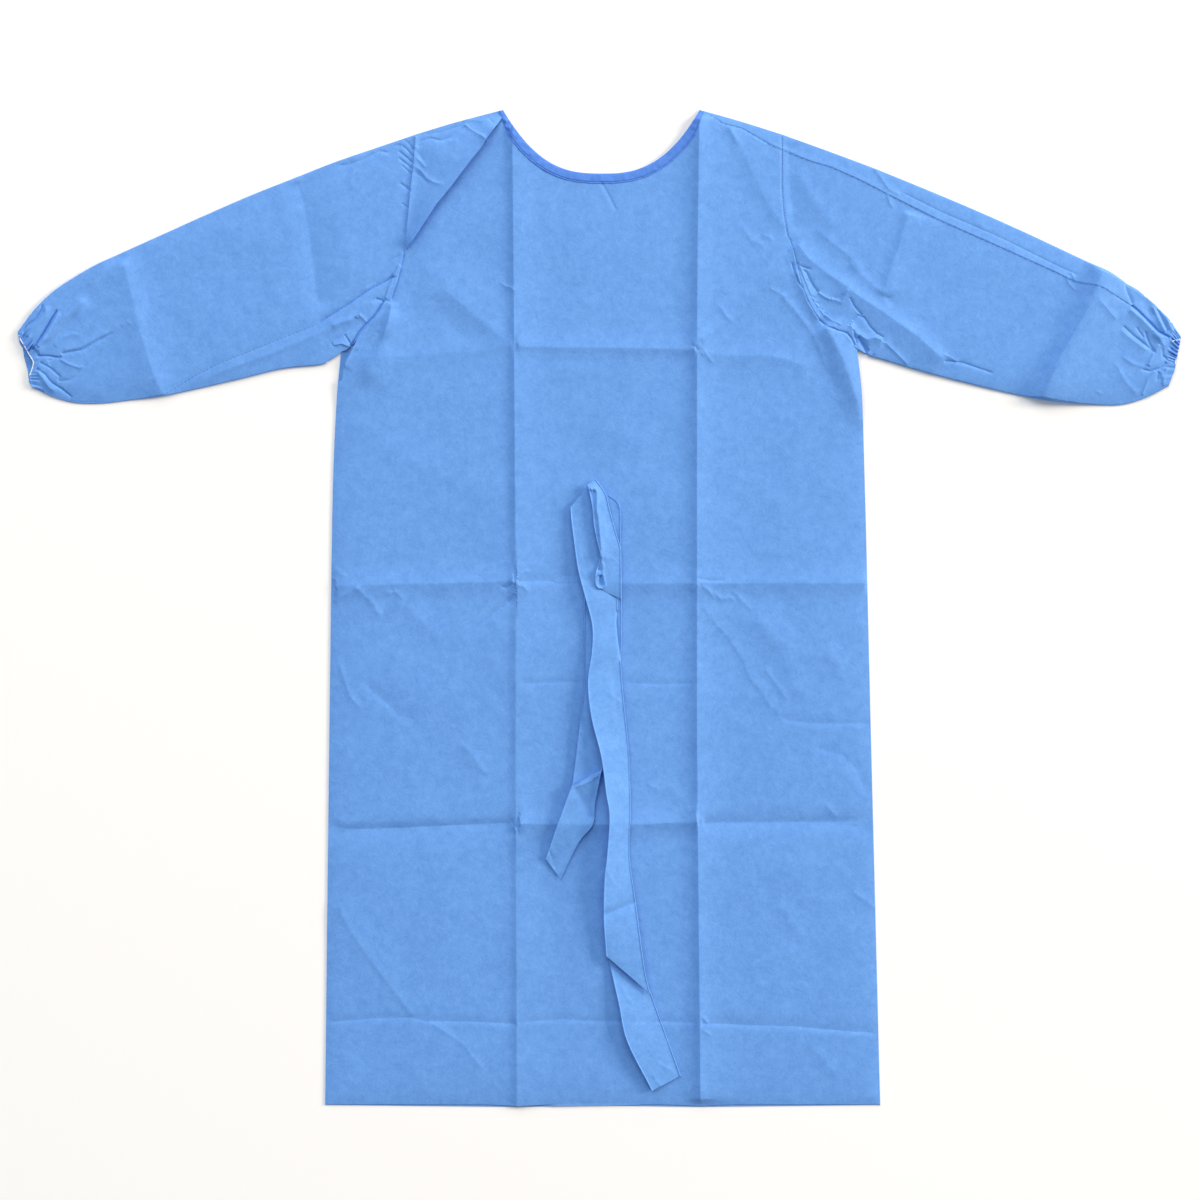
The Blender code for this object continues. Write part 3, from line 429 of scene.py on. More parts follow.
UNDERARM_NEAR = [(394.5, 276.6), (387, 280.8), (375, 287), (364.7, 293), (348.4, 304.3),
                 (330, 316), (314, 326)]
UNDERARM_FAR = [(330, 316), (314, 326), (274, 342), (222, 363), (196, 376), (168, 393)]
SLEEVE_CREASES = [
    Fold([(297, 181), (303, 200), (309, 230), (314, 271), (321, 313)], -2.0, 26, 15, 0.7, (6, 14)),
    Fold([(121.8, 256), (130.8, 289), (140.8, 332), (151.8, 368), (162.8, 395)], 3.3, 16, 30, 0.7, (14, 0)),
    Fold([(909, 211), (901, 238), (894, 259), (886, 286), (882, 298)], 2.8, 30, 8, 1.4, (6, 8)),
    Fold([(1103, 270), (1092, 300), (1070, 342), (1052, 378), (1041, 401)],
         12.0, 45, 13, 6.0, (0, 0)),
    Fold(UNDERARM_NEAR, -1.5, 1.0, 1.9, 0.3, (1, 14)),
    Fold(UNDERARM_NEAR, -0.8, 2.5, 10, 0.8, (1, 20)),
    Fold(UNDERARM_FAR, -0.5, 1.2, 4.0, 0.4, (4, 30)),
    Fold([(354, 319.5), (339, 324), (318, 334.5), (274, 353), (222, 372), (194, 385)],
         1.0, 3, 6, 1.0, (6, 24)),
    Fold([(296, 181), (320, 176), (345, 166), (352, 156)], -0.8, 10, 10, 3, (10, 10)),
    Fold([(355, 165), (351, 180), (353, 191)], 0.6, 4, 4, 1.0, (6, 6)),
]

RIGHT_TOP_SEAM = [
    (711, 115.6), (722, 123.8), (742, 129), (766, 143), (784, 151), (808, 161), (831, 168),
    (860, 181), (887, 195), (937, 220), (1002, 249), (1055, 273), (1074, 282), (1094, 286.5),
    (1104, 290.5), (1115, 297.5), (1130, 306.5), (1149, 323.5), (1158, 333), (1169, 338.5),
]
SEAM_FOLDS = [
    Fold(RIGHT_TOP_SEAM[:17], -0.6, 0.8, 1.0, 0.25, (1, 2)),
    Fold(RIGHT_TOP_SEAM[3:16], 0.8, 5.0, 0.7, 0.5, (4, 4)),
    Fold([(900, 192), (940, 212), (1000, 238), (1040, 258), (1067, 271), (1078, 275.5)],
         -0.5, 1.4, 1.4, 0.3, (10, 4)),
    Fold([(873, 168), (880, 177), (888, 189), (900, 196)], 0.7, 2.6, 2.6, 0.5, (4, 4)),
    Fold([(887, 194), (889, 203), (894, 210)], 0.7, 2.4, 2.4, 0.5, (1, 6)),
    Fold([(1066, 276), (1068, 284), (1076, 292)], 0.8, 2.4, 2.4, 0.5, (1, 5)),
    Fold([(1070, 272), (1074, 280)], 0.8, 2.0, 2.0, 0.4, (2, 2)),
]

LEFT_CUFF_FOLDS = [
    Fold([(43, 304), (41.2, 311.5), (35, 320), (26.7, 326), (23, 333)], -1.8, 2.0, 1.2, 0.3, (4, 1)),
    Fold([(47, 305), (46, 314), (38, 323), (30, 331), (27, 337)], 1.6, 5, 2.2, 0.8, (6, 2)),
    Fold([(58, 309), (53.5, 317.5), (46, 331), (36.5, 346.5), (32.5, 350.5)],
         -2.6, 2.2, 1.4, 0.4, (5, 1)),
    Fold([(60, 311), (56, 319), (48.5, 332), (38.5, 347)], 1.9, 2.6, 1.6, 0.6, (6, 1)),
    Fold([(35, 350), (43, 343), (51, 337), (65.5, 319), (77.5, 308), (88, 297)],
         3.2, 6, 8, 0.7, (2, 12)),
    Fold([(40, 348), (56, 338), (70, 322), (80, 311)], -1.3, 4, 5, 1.0, (4, 14)),
    Fold([(37.5, 356.3), (48.5, 356.3), (59.5, 358), (63, 356.5)], -1.7, 1.4, 1.8, 0.35, (1, 2)),
    Fold([(61.5, 354), (72, 352), (82.5, 350.3), (97, 341.8), (116, 332)],
         -1.2, 1.6, 2.0, 0.4, (2, 10)),
    Fold([(64, 351), (82, 347), (97, 338.5), (112, 331)], 0.8, 5, 2.4, 0.8, (4, 10)),
    Fold([(60.5, 359.5), (70, 364.8), (80, 368), (86, 367)], 0.8, 1.8, 1.8, 0.5, (2, 5)),
    Fold([(40, 362.5), (51, 368.5), (60.5, 377), (58, 381)], -1.1, 1.5, 1.5, 0.4, (1, 2)),
    Fold([(58, 381.5), (64, 381), (70, 380.5), (76, 376.5), (97, 356.5), (104, 348)],
         -0.8, 1.8, 1.8, 0.5, (2, 12)),
    Fold([(36.5, 368.5), (45, 374.5), (52, 383), (63, 390), (73, 398)], -1.5, 1.6, 1.6, 0.4, (1, 3)),
    Fold([(38, 371), (44, 379), (50, 388), (58, 393)], 1.6, 4, 3, 1.0, (2, 6)),
    Fold([(48, 361), (56, 359), (50, 366)], -0.9, 1.6, 1.6, 0.6, (2, 2)),
    Fold([(54.5, 347), (63, 338), (72.5, 334.5), (84, 335.5)], 0.6, 2.2, 2.2, 0.8, (3, 6)),
    Fold([(100, 256), (106, 262), (98, 275), (88, 290)], 1.0, 8, 8, 2.0, (6, 10)),
    Fold([(122, 328), (128, 322), (133, 326)], 0.5, 2.2, 2.2, 0.6, (3, 3)),
]

RIGHT_CUFF_FOLDS = [
    Fold([(1122.5, 282.5), (1127, 295), (1131.5, 305)], -1.3, 3.0, 1.6, 0.5, (3, 1)),
    Fold([(1130, 305.5), (1137, 311), (1149, 322.5), (1158, 332), (1169.5, 338)],
         -2.6, 1.4, 1.4, 0.35, (1, 1)),
    Fold([(1128, 309), (1140, 319), (1152, 331), (1163, 339)], 2.2, 1.6, 7, 0.7, (3, 2)),
    Fold([(1141, 297), (1146, 306), (1153, 320)], -1.8, 6, 6, 2.0, (4, 6)),
    Fold([(1134, 292), (1142, 293), (1148, 297)], 0.9, 4, 3, 1.0, (3, 3)),
    Fold([(1156, 308), (1161.5, 320), (1167.5, 332)], -1.6, 2.0, 1.4, 0.35, (3, 1)),
    Fold([(1151, 305), (1157, 318), (1164, 332)], 1.7, 2.5, 2.5, 0.8, (5, 1)),
    Fold([(1161, 309), (1167, 321), (1172, 332)], 1.2, 2.0, 2.0, 0.6, (5, 1)),
    Fold([(1094, 297.5), (1105, 309), (1116, 321)], 0.8, 3.0, 3.0, 0.6, (4, 4)),
    Fold([(1121.5, 326), (1132, 335.5), (1148, 348), (1155, 353.5)], -1.2, 1.6, 1.6, 0.4, (3, 1)),
    Fold([(1119, 330), (1131, 340), (1146, 351)], 0.9, 2.0, 4, 0.8, (4, 2)),
    Fold([(1135, 327), (1139, 333), (1143.5, 339)], -0.9, 1.4, 1.4, 0.4, (2, 3)),
    Fold([(1144.5, 331), (1146, 338), (1148.5, 344), (1154, 352.5)], -1.2, 1.6, 1.6, 0.4, (3, 1)),
    Fold([(1152, 333), (1158, 338), (1164, 347)], 1.5, 3, 3, 1.0, (3, 1)),
    Fold([(1158.5, 344.5), (1152.5, 355), (1147, 366.5)], 1.5, 3, 2.0, 0.5, (2, 2)),
    Fold([(1140, 369.5), (1149, 371.5), (1159.5, 368.5), (1166, 362.5)], -1.4, 1.6, 1.2, 0.4, (4, 1)),
    Fold([(1162, 348), (1162, 356), (1166.5, 360)], -1.2, 1.5, 1.5, 0.4, (3, 1)),
    Fold([(1154, 371), (1147, 380), (1141.5, 396)], 1.1, 2.4, 1.8, 0.5, (1, 2)),
    Fold([(1158.5, 372), (1156, 382)], -1.3, 1.6, 1.6, 0.4, (1, 4)),
    Fold([(1162, 372), (1161, 380)], 1.2, 1.6, 1.6, 0.5, (1, 4)),
    Fold([(1166, 368), (1163, 380), (1163, 386)], 1.1, 1.6, 1.6, 0.5, (1, 2)),
    Fold([(1113.5, 362), (1125, 382), (1137.5, 395)], 0.7, 3, 3, 0.8, (6, 4)),
    Fold([(1120.5, 356), (1132, 364), (1143.5, 367.5)], 0.7, 2.6, 2.6, 0.7, (5, 3)),
    Fold([(1094, 391), (1103, 395)], 0.5, 2, 2, 0.5, (4, 4)),
]

PANEL_FOLDS = [
    Fold([(330, 895), (360, 940), (400, 1000), (440, 1040), (490, 1075)], 0.9, 26, 26, 7, (20, 30)),
    Fold([(700, 585), (745, 622), (800, 650), (850, 668)], 0.6, 14, 14, 4, (10, 30)),
    Fold([(645, 783), (652, 786), (660, 790)], 0.7, 4, 4, 0.8, (6, 6)),
    Fold([(665, 780), (682, 800), (700, 822)], 0.9, 10, 10, 1.5, (10, 4)),
    Fold([(540, 660), (570, 628), (577, 600)], 0.8, 12, 12, 3, (14, 8)),
    Fold([(430, 590), (470, 580), (512, 560)], 0.5, 7, 7, 1.5, (10, 6)),
    Fold([(392, 590), (387, 594), (396, 592), (405, 601)], 0.6, 2.6, 2.6, 0.7, (4, 6)),
    Fold([(500, 586), (507, 588), (514, 583)], -0.8, 2.2, 2.2, 0.6, (3, 2)),
    Fold([(506, 604), (511, 598), (515, 594)], -0.8, 2.4, 2.4, 0.6, (5, 1)),
    Fold([(518, 579), (523, 573), (530, 570)], 0.8, 2.4, 2.4, 0.6, (1, 4)),
    Fold([(518, 586), (523, 586), (529, 592)], 0.8, 2.4, 2.4, 0.6, (1, 4)),
    Fold([(335, 568), (341, 574), (348, 578)], 0.6, 3, 3, 0.8, (1, 6)),
    Fold([(334, 602), (342, 596), (352, 592), (360, 586)], 0.7, 4, 3, 0.9, (1, 6)),
    Fold([(690, 346), (695, 347), (698, 352)], -0.8, 1.8, 1.8, 0.5, (3, 1)),
    Fold([(701, 356), (704, 352), (710, 360), (713, 364)], 0.7, 2.4, 2.4, 0.6, (2, 4)),
    Fold([(701, 340), (706, 336), (714, 330)], 0.7, 3, 3, 0.8, (1, 8)),
    Fold([(691, 592), (696, 586), (698, 584)], 0.7, 2.2, 2.2, 0.5, (4, 1)),
    Fold([(702, 586), (708, 590), (716, 600)], 0.7, 2.6, 2.6, 0.7, (1, 6)),
    Fold([(702, 1016), (708, 1023), (704, 1030), (712, 1036)], 0.8, 2.6, 2.6, 0.7, (1, 6)),
    Fold([(508, 820), (513, 827), (518, 832)], 0.6, 2.4, 2.4, 0.6, (3, 3)),
    Fold([(352, 420), (395, 450), (450, 478), (505, 500)], 0.6, 20, 20, 6, (20, 20)),
    Fold([(560, 400), (600, 430), (660, 452)], 0.5, 18, 18, 6, (20, 20)),
    Fold([(830, 560), (790, 520), (740, 470)], 0.5, 20, 20, 6, (20, 20)),
    Fold([(800, 940), (770, 980), (720, 1010)], 0.8, 18, 18, 6, (20, 14)),
    Fold([(380, 640), (420, 690), (480, 720)], 0.6, 22, 22, 6, (20, 20)),
    Fold([(560, 900), (575, 950), (600, 1000)], 0.6, 20, 20, 6, (20, 20)),
    Fold([(770, 850), (820, 900), (860, 960)], 0.6, 20, 20, 6, (20, 20)),
]

LOWER_FOLDS = [
    Fold([(700, 603), (712.5, 620), (727, 635.5), (742, 658), (750.5, 679), (761, 691), (769.5, 705),
          (783, 719)], 0.6, 9, 3, 0.6, (6, 10)),
    Fold([(776, 713), (786, 719.5), (811, 723.4), (842, 723.4), (873, 723)],
         -0.6, 6, 3, 0.6, (6, 0)),
    Fold([(764, 668), (778, 687), (787, 701)], 0.6, 3, 3, 0.8, (5, 5)),
    Fold([(731, 589), (747, 606), (753, 611)], 0.6, 3, 3, 0.8, (4, 5)),
    Fold([(752, 605), (775, 640), (790, 670), (800, 700)], 1.1, 18, 12, 4, (14, 18)),
    Fold([(823, 646), (838, 663), (843, 684)], 0.7, 8, 8, 2.5, (10, 12)),
    Fold([(812, 746), (842, 755), (855.5, 768), (862.5, 782), (865, 796)],
         -0.8, 10, 5, 1.2, (10, 10)),
    Fold([(824.5, 803), (836.5, 816.5)], 0.5, 3, 3, 0.8, (4, 2)),
    Fold([(699, 578.6), (710.7, 580.8), (726, 580.3)], -0.7, 2.6, 2.6, 0.5, (0, 5)),
    Fold([(712.5, 590.7), (721, 599.3), (729.7, 597.6), (735, 601)], 0.6, 2.6, 2.6, 0.6, (3, 3)),
    Fold([(514.2, 598.4), (494.4, 613), (477, 627), (463, 641)], -0.9, 2.6, 3.0, 0.5, (0, 14)),
    Fold([(356, 586), (374, 604.5), (381, 619)], 0.9, 4, 5, 0.8, (4, 8)),
    Fold([(394, 596), (420, 620), (446, 646)], 1.1, 14, 14, 3, (10, 16)),
    Fold([(339, 661), (344.4, 680), (351, 697.6), (362, 709)], 0.6, 3, 3, 0.7, (8, 8)),
    Fold([(361, 680), (379, 696), (400, 715), (418, 721)], -0.9, 12, 5, 1.0, (10, 14)),
    Fold([(463, 742), (475.5, 760), (488, 777)], 0.7, 6, 6, 1.5, (8, 8)),
    Fold([(337, 903), (346, 923), (364, 950), (383, 976), (395.5, 992.5), (405, 1005), (414, 1016.5)],
         0.5, 6, 3.6, 0.8, (8, 3)),
    Fold([(427, 1020), (450.6, 1034.7), (463.4, 1044), (474.5, 1058.6), (485.5, 1071.5)],
         0.5, 3.2, 3.2, 0.7, (3, 8)),
    Fold([(777, 899), (790.5, 921), (803.5, 944)], 0.8, 8, 8, 2, (12, 12)),
    Fold([(807, 1040), (822, 1058), (840, 1080)], 0.8, 7, 7, 2, (8, 12)),
    Fold([(851, 890), (866, 901), (874, 907)], 0.5, 3, 3, 0.8, (5, 0)),
]
FOLDS = (PACKING_CREASES + SHOULDER_FOLDS + LEFT_ARMHOLE_FOLDS + RIGHT_ARMHOLE_FOLDS
         + SLEEVE_CREASES + SEAM_FOLDS + LEFT_CUFF_FOLDS + RIGHT_CUFF_FOLDS + PANEL_FOLDS
         + LOWER_FOLDS)


def beside(points, line):
    """Distance to a line in plan, which hand it is on (1 is left), place along it, its length."""
    start = line[:-1]
    run = line[1:] - start
    along = lengths_along(line)
    length = np.diff(along)
    offset = points[:, None] - start
    share = np.clip((offset * run).sum(-1) / length ** 2, 0.0, 1.0)
    away = offset - share[..., None] * run
    distance = np.hypot(away[..., 0], away[..., 1])
    best = distance.argmin(axis=1)
    rows = np.arange(len(points))
    cross = run[best, 0] * offset[rows, best, 1] - run[best, 1] * offset[rows, best, 0]
    place = along[best] + share[rows, best] * length[best]
    return distance[rows, best], np.sign(cross), place, along[-1]


def fold_height(points, fold):
    """What one fold adds to the height of the cloth: round at its crest, then an even slope."""
    line = spots(fold.path)
    reach = 3 * max(fold.left, fold.right) * MM
    near = ((points > line.min(0) - reach) & (points < line.max(0) + reach)).all(axis=1)
    height = np.zeros(len(points))
    if not near.any():
        return height
    distance, hand, place, length = beside(points[near], line)
    blunt = fold.blunt * MM
    reach = np.where(hand > 0, fold.left, fold.right) * MM
    inward = (reach - np.hypot(distance, blunt) + blunt) / (FOLD_SLOPE * reach)
    profile = np.log1p(np.exp(inward)) / FOLD_CREST
    for fade, from_end in zip(fold.fade, (place, length - place)):
        if fade:
            profile = profile * smooth_step(from_end / (fade * MM))
    height[near] = fold.rise * MM * profile
    return height


def drift(points, size, seed):
    """A smooth irregular swell from about -1 to 1, whose waves are about size long."""
    random = np.random.default_rng(seed)
    total = np.zeros(len(points))
    for _ in range(WAVES):
        angle = random.uniform(0, math.pi)
        wave = 2 * math.pi / (size * random.uniform(*WAVE_SPREAD))
        across = points[:, 0] * math.cos(angle) + points[:, 1] * math.sin(angle)
        total += np.sin(across * wave + random.uniform(0, 2 * math.pi))
    return total / WAVES ** 0.5 / WAVE_CREST


def tree_of(line):
    """A line's points in plan, kept so that the nearest one is found fast."""
    tree = KDTree(len(line))
    for number, point in enumerate(line):
        tree.insert((point[0], point[1], 0.0), number)
    tree.balance()
    return tree


OUTER_TREE = tree_of(OUTER_LINE)


def from_outer_edge(points):
    """Distance in plan from the gown's outer edge."""
    last = len(OUTER_LINE) - 1
    found = np.array([OUTER_TREE.find((x, y, 0.0))[1] for x, y in points])
    best = np.full(len(points), 1.0)
    for start in (np.maximum(found - 1, 0), np.minimum(found, last - 1)):
        run = OUTER_LINE[start + 1] - OUTER_LINE[start]
        offset = points - OUTER_LINE[start]
        share = (offset * run).sum(1) / np.maximum((run * run).sum(1), 1e-12)
        away = offset - np.clip(share, 0.0, 1.0)[:, None] * run
        best = np.minimum(best, np.hypot(away[:, 0], away[:, 1]))
    return best


def cloth_height(points):
    """Height over the table of the upper face of the cloth that shows."""
    points = np.asarray(points, float)
    arm = smooth_step((np.abs(points[:, 0]) - ARM_START) / ARM_BLEND)
    arm = arm * smooth_step((points[:, 1] - SLEEVE_FROM) / SLEEVE_BLEND)
    full = BODY_LEVEL + (SLEEVE_LEVEL - BODY_LEVEL) * arm
    edge = BODY_EDGE + (SLEEVE_EDGE - BODY_EDGE) * arm
    depth = from_outer_edge(points)
    inside = 1 - np.exp(-depth / EDGE_REACH)
    height = edge + (full - edge) * inside
    free = 1 - np.exp(-depth / (3 * EDGE_REACH))
    for swell in SWELLS:
        height += free * swell.rise * drift(points, swell.size, swell.seed)
    for fold in FOLDS:
        height += fold_height(points, fold)
    return np.clip(height, LOWEST_CLOTH, HIGHEST_CLOTH)


# Making a piece of cloth
# A piece is its outline filled with triangles, small along the folds and large on the calm
# stretches, raised to the height of the cloth and given a second face one thickness below.
# Where an edge is a fold and not a cut, the cloth rolls over it and lies back on the table.
RASTER = 0.002
FINEST = 0.0013
FINE = 0.0019
MIDDLE = 0.0038
FINE_STEPS = 1
MIDDLE_STEPS = 5
COARSE = 0.0085
BACK_COARSE = 0.012
TIGHT_REACH = 2.7
SOFT_BLUNT = 1.9
FOLD_PITCH = 0.8
FOLD_CLEAR = 0.42
LATTICE_ROW = 0.866
FOLD_MARGIN = 0.03
RASTER_BORDER = 4 * RASTER
SAME_POINT = 1e-7
SHARP_FOLD = math.radians(15)
ROLL_TURNS = 6
TUCK_TURNS = 4


def inside_outline(points, outline):
    """Which points lie inside a closed outline."""
    odd = np.zeros(len(points), bool)
    for start, end in zip(outline, np.roll(outline, -1, axis=0)):
        if start[1] == end[1]:
            continue
        crosses = (points[:, 1] > min(start[1], end[1])) & (points[:, 1] <= max(start[1], end[1]))
        x = start[0] + (points[:, 1] - start[1]) * (end[0] - start[0]) / (end[1] - start[1])
        odd ^= crosses & (points[:, 0] < x)
    return odd


def steps_from(lines, low, shape, most):
    """On a raster, how many cells each cell is from the nearest line."""
    marked = np.zeros(shape, bool)
    for line in lines:
        cells = ((evenly(line, RASTER / 2) - low) / RASTER).astype(int)
        cells = cells[((cells >= 0) & (cells < shape)).all(axis=1)]
        marked[cells[:, 0], cells[:, 1]] = True
    steps = np.where(marked, 0, most)
    for step in range(1, most):
        grown = marked.copy()
        grown[1:] |= marked[:-1]
        grown[:-1] |= marked[1:]
        grown[:, 1:] |= marked[:, :-1]
        grown[:, :-1] |= marked[:, 1:]
        steps[grown & ~marked] = step
        marked = grown
    return steps


def lattice(low, high, spacing):
    """Points in plan at the corners of even triangles."""
    rows = np.arange(low[1] + spacing / 2, high[1], spacing * LATTICE_ROW)
    points = []
    for number, y in enumerate(rows):
        xs = np.arange(low[0] + spacing * (0.25 if number % 2 else 0.75), high[0], spacing)
        points.append(np.column_stack([xs, np.full(len(xs), y)]))
    return np.vstack(points)


def is_tight(fold):
    return min(fold.left, fold.right) < TIGHT_REACH


def new_numbers(used, count):
    """For each of count points its number among the used ones, or -1."""
    number = np.full(count, -1)
    number[used] = np.arange(len(used))
    return number


def triangulated(verts, edges, ring_size):
    """Triangles between points in plan, all turned up, inside a ring of the first of them and
    along the given edges: the points, the faces and the ring's own numbers."""
    ring = list(range(ring_size))
    flat, _, faces, sources, *_ = delaunay_2d_cdt(
        [Vector(point) for point in verts], edges, [ring], 1, SAME_POINT)
    faces = np.array([tuple(face) for face in faces if len(face) == 3])
    flat = np.array([(point[0], point[1]) for point in flat])
    place = {}
    for number, source in enumerate(sources):
        for original in source:
            place[original] = number
    rim = np.array([place[number] for number in ring])
    corner = flat[faces]
    turned = np.cross(corner[:, 1] - corner[:, 0], corner[:, 2] - corner[:, 0]) < 0
    faces[turned] = faces[turned][:, ::-1]
    used = np.unique(faces)
    number = new_numbers(used, len(flat))
    return flat[used], number[faces], number[rim]


def filled(outline, coarse, folds):
    """An outline in plan filled with triangles that are smaller along the folds."""
    low = outline.min(0) - RASTER_BORDER
    high = outline.max(0) + RASTER_BORDER
    shape = np.ceil((high - low) / RASTER).astype(int) + 1
    tight = [spots(fold.path) for fold in folds if is_tight(fold)]
    sharp_folds = [fold for fold in folds if fold.blunt < SOFT_BLUNT]
    sharp = [spots(fold.path) for fold in sharp_folds]
    soft = [spots(fold.path) for fold in folds]
    closed = np.vstack([outline, outline[:1]])
    from_tight = steps_from(tight, low, shape, FINE_STEPS + 1)
    from_sharp = steps_from(sharp, low, shape, FINE_STEPS + 1)
    from_soft = steps_from(soft + [closed], low, shape, MIDDLE_STEPS + 1)
    from_edge = steps_from([closed], low, shape, 2)

    def cell(points, raster):
        places = ((points - low) / RASTER).astype(int)
        return raster[places[:, 0], places[:, 1]]

    def rank(points):
        """0 beside a tight fold, 1 beside a sharp one, 2 near any fold or edge, 3 elsewhere."""
        return np.select([
            cell(points, from_tight) <= FINE_STEPS,
            cell(points, from_sharp) <= FINE_STEPS,
            cell(points, from_soft) <= MIDDLE_STEPS,
        ], [0, 1, 2], 3)

    verts = [outline]
    edges = []
    count = len(outline)
    for fold in sharp_folds:
        line = evenly(spots(fold.path), FOLD_PITCH * (FINEST if is_tight(fold) else FINE))
        inside = ((line > low + RASTER) & (line < high - RASTER)).all(axis=1)
        if not inside.any():
            continue
        keep = np.zeros(len(line), bool)
        keep[inside] = (cell(line[inside], from_edge) >= 1) & inside_outline(line[inside], outline)
        for start in np.flatnonzero(keep[:-1] & keep[1:]):
            first = count + int(keep[:start].sum())
            edges.append((first, first + 1))
        verts.append(line[keep])
        count += int(keep.sum())
    near_fixed = tree_of(np.vstack(verts))
    for number, spacing in enumerate((FINEST, FINE, MIDDLE, coarse)):
        points = lattice(low + RASTER, high - RASTER, spacing)
        points = points[rank(points) == number]
        if spacing != coarse:
            away = np.array([near_fixed.find((x, y, 0.0))[2] for x, y in points])
            points = points[away > FOLD_CLEAR * spacing]
        verts.append(points)
    return triangulated(np.vstack(verts), edges, len(outline))


def smoothed(mesh):
    """Shades a mesh smooth but for its cut edges and its sharpest folds."""
    mesh.shade_smooth()
    mesh.set_sharp_from_angle(angle=SHARP_FOLD)


def finished_mesh(name, verts, faces, material, turned_out=False):
    """A piece made of its points and faces, whose faces are turned outward where that is asked."""
    mesh = bpy.data.meshes.new(name + "_cloth")
    mesh.from_pydata([tuple(vert) for vert in verts.tolist()], [], faces)
    mesh.materials.append(material)
    mesh.update()
    if turned_out:
        form = bmesh.new()
        form.from_mesh(mesh)
        bmesh.ops.recalc_face_normals(form, faces=form.faces)
        form.to_mesh(mesh)
        form.free()
    smoothed(mesh)
    return placed_object(name + "_cloth", mesh)


def joined(name, pieces):
    """Several meshes made one piece."""
    form = bmesh.new()
    for piece in pieces:
        form.from_mesh(piece.data)
    mesh = bpy.data.meshes.new(name + "_cloth")
    form.to_mesh(mesh)
    form.free()
    mesh.materials.append(pieces[0].data.materials[0])
    smoothed(mesh)
    for piece in pieces:
        bpy.data.objects.remove(piece)
    return placed_object(name + "_cloth", mesh)


def cloth_piece(name, outline, tuck=None, coarse=COARSE, height=cloth_height, folds=FOLDS):
    """A closed thin shell of the body's cloth. tuck is zero where the outline is cut or sewn.
    Where it is a fold, tuck gives for each point the way in plan that the cloth lies back
    under itself, the height that it comes down to there and the largest radius of its roll."""
    outline = np.asarray(outline, float)
    tuck = np.zeros((len(outline), 4)) if tuck is None else np.asarray(tuck, float)
    area = np.cross(outline, np.roll(outline, -1, axis=0)).sum() / 2
    if area < 0:
        outline = outline[::-1]
        tuck = tuck[::-1]
    back, rest, widest = tuck[:, :2], tuck[:, 2], tuck[:, 3]
    rolled = np.hypot(*back.T) > 0
    inward = np.zeros_like(back)
    inward[rolled] = back[rolled] / np.hypot(*back[rolled].T)[:, None]
    radius = np.where(rolled, np.minimum((height(outline) - rest) / 2, widest), 0.0)
    rim_line = outline + inward * radius[:, None]
    low = outline.min(0) - FOLD_MARGIN
    high = outline.max(0) + FOLD_MARGIN
    crossed = []
    for fold in folds:
        line = spots(fold.path)
        if (line.max(0) > low).all() and (line.min(0) < high).all():
            crossed.append(fold)
    flat, faces, rim = filled(rim_line, coarse, crossed)
    top = height(flat)
    count = len(flat)
    verts = [np.column_stack([flat, top]), np.column_stack([flat, top - CLOTH])]
    crest = top[rim]
    radius = np.where(rolled, np.minimum((crest - rest) / 2, widest), 0.0)
    all_faces = faces.tolist() + (faces[:, ::-1] + count).tolist()
    rings = [[rim], [rim + count]]
    start = 2 * count
    for angle in np.linspace(math.pi / 2, -math.pi / 2, ROLL_TURNS + 1)[1:]:
        for side, size in enumerate((radius, radius - CLOTH)):
            size = np.maximum(size, 0.0)
            plan = rim_line - inward * (size * math.cos(angle))[:, None]
            verts.append(np.column_stack([plan, crest - radius + size * math.sin(angle)]))
            rings[side].append(np.arange(start, start + len(rim)))
            start += len(rim)
    for turn in range(1, TUCK_TURNS + 1):
        plan = rim_line + back * (turn / TUCK_TURNS)
        level = rest + (crest - 2 * radius - rest) * (1 - smooth_step(turn / TUCK_TURNS))
        for side, lift in enumerate((0.0, CLOTH)):
            verts.append(np.column_stack([plan, level + lift]))
            rings[side].append(np.arange(start, start + len(rim)))
            start += len(rim)
    chain = rings[0] + rings[1][::-1]
    total = len(rim)
    for a in range(total):
        b = (a + 1) % total
        if rolled[a] and rolled[b]:
            for first, second in zip(chain, chain[1:]):
                all_faces.append((first[b], first[a], second[a], second[b]))
        else:
            all_faces.append((rim[b], rim[a], rim[a] + count, rim[b] + count))
    for a in range(total):
        starts = rolled[a] and not rolled[a - 1]
        ends = rolled[a] and not rolled[(a + 1) % total]
        for outer, next_outer, inner, next_inner in zip(rings[0], rings[0][1:], rings[1], rings[1][1:]):
            if starts:
                all_faces.append((next_outer[a], outer[a], inner[a], next_inner[a]))
            if ends:
                all_faces.append((outer[a], next_outer[a], next_inner[a], inner[a]))
    verts = np.vstack(verts)
    all_faces = [tuple(int(corner) for corner in face) for face in all_faces]
    used = np.unique(np.concatenate([np.array(face) for face in all_faces[2 * len(faces):]]
                                    + [faces.ravel(), faces.ravel() + count]))
    number = new_numbers(used, len(verts))
    all_faces = [tuple(number[corner] for corner in face) for face in all_faces]
    return finished_mesh(name, verts[used], all_faces, body_cloth)


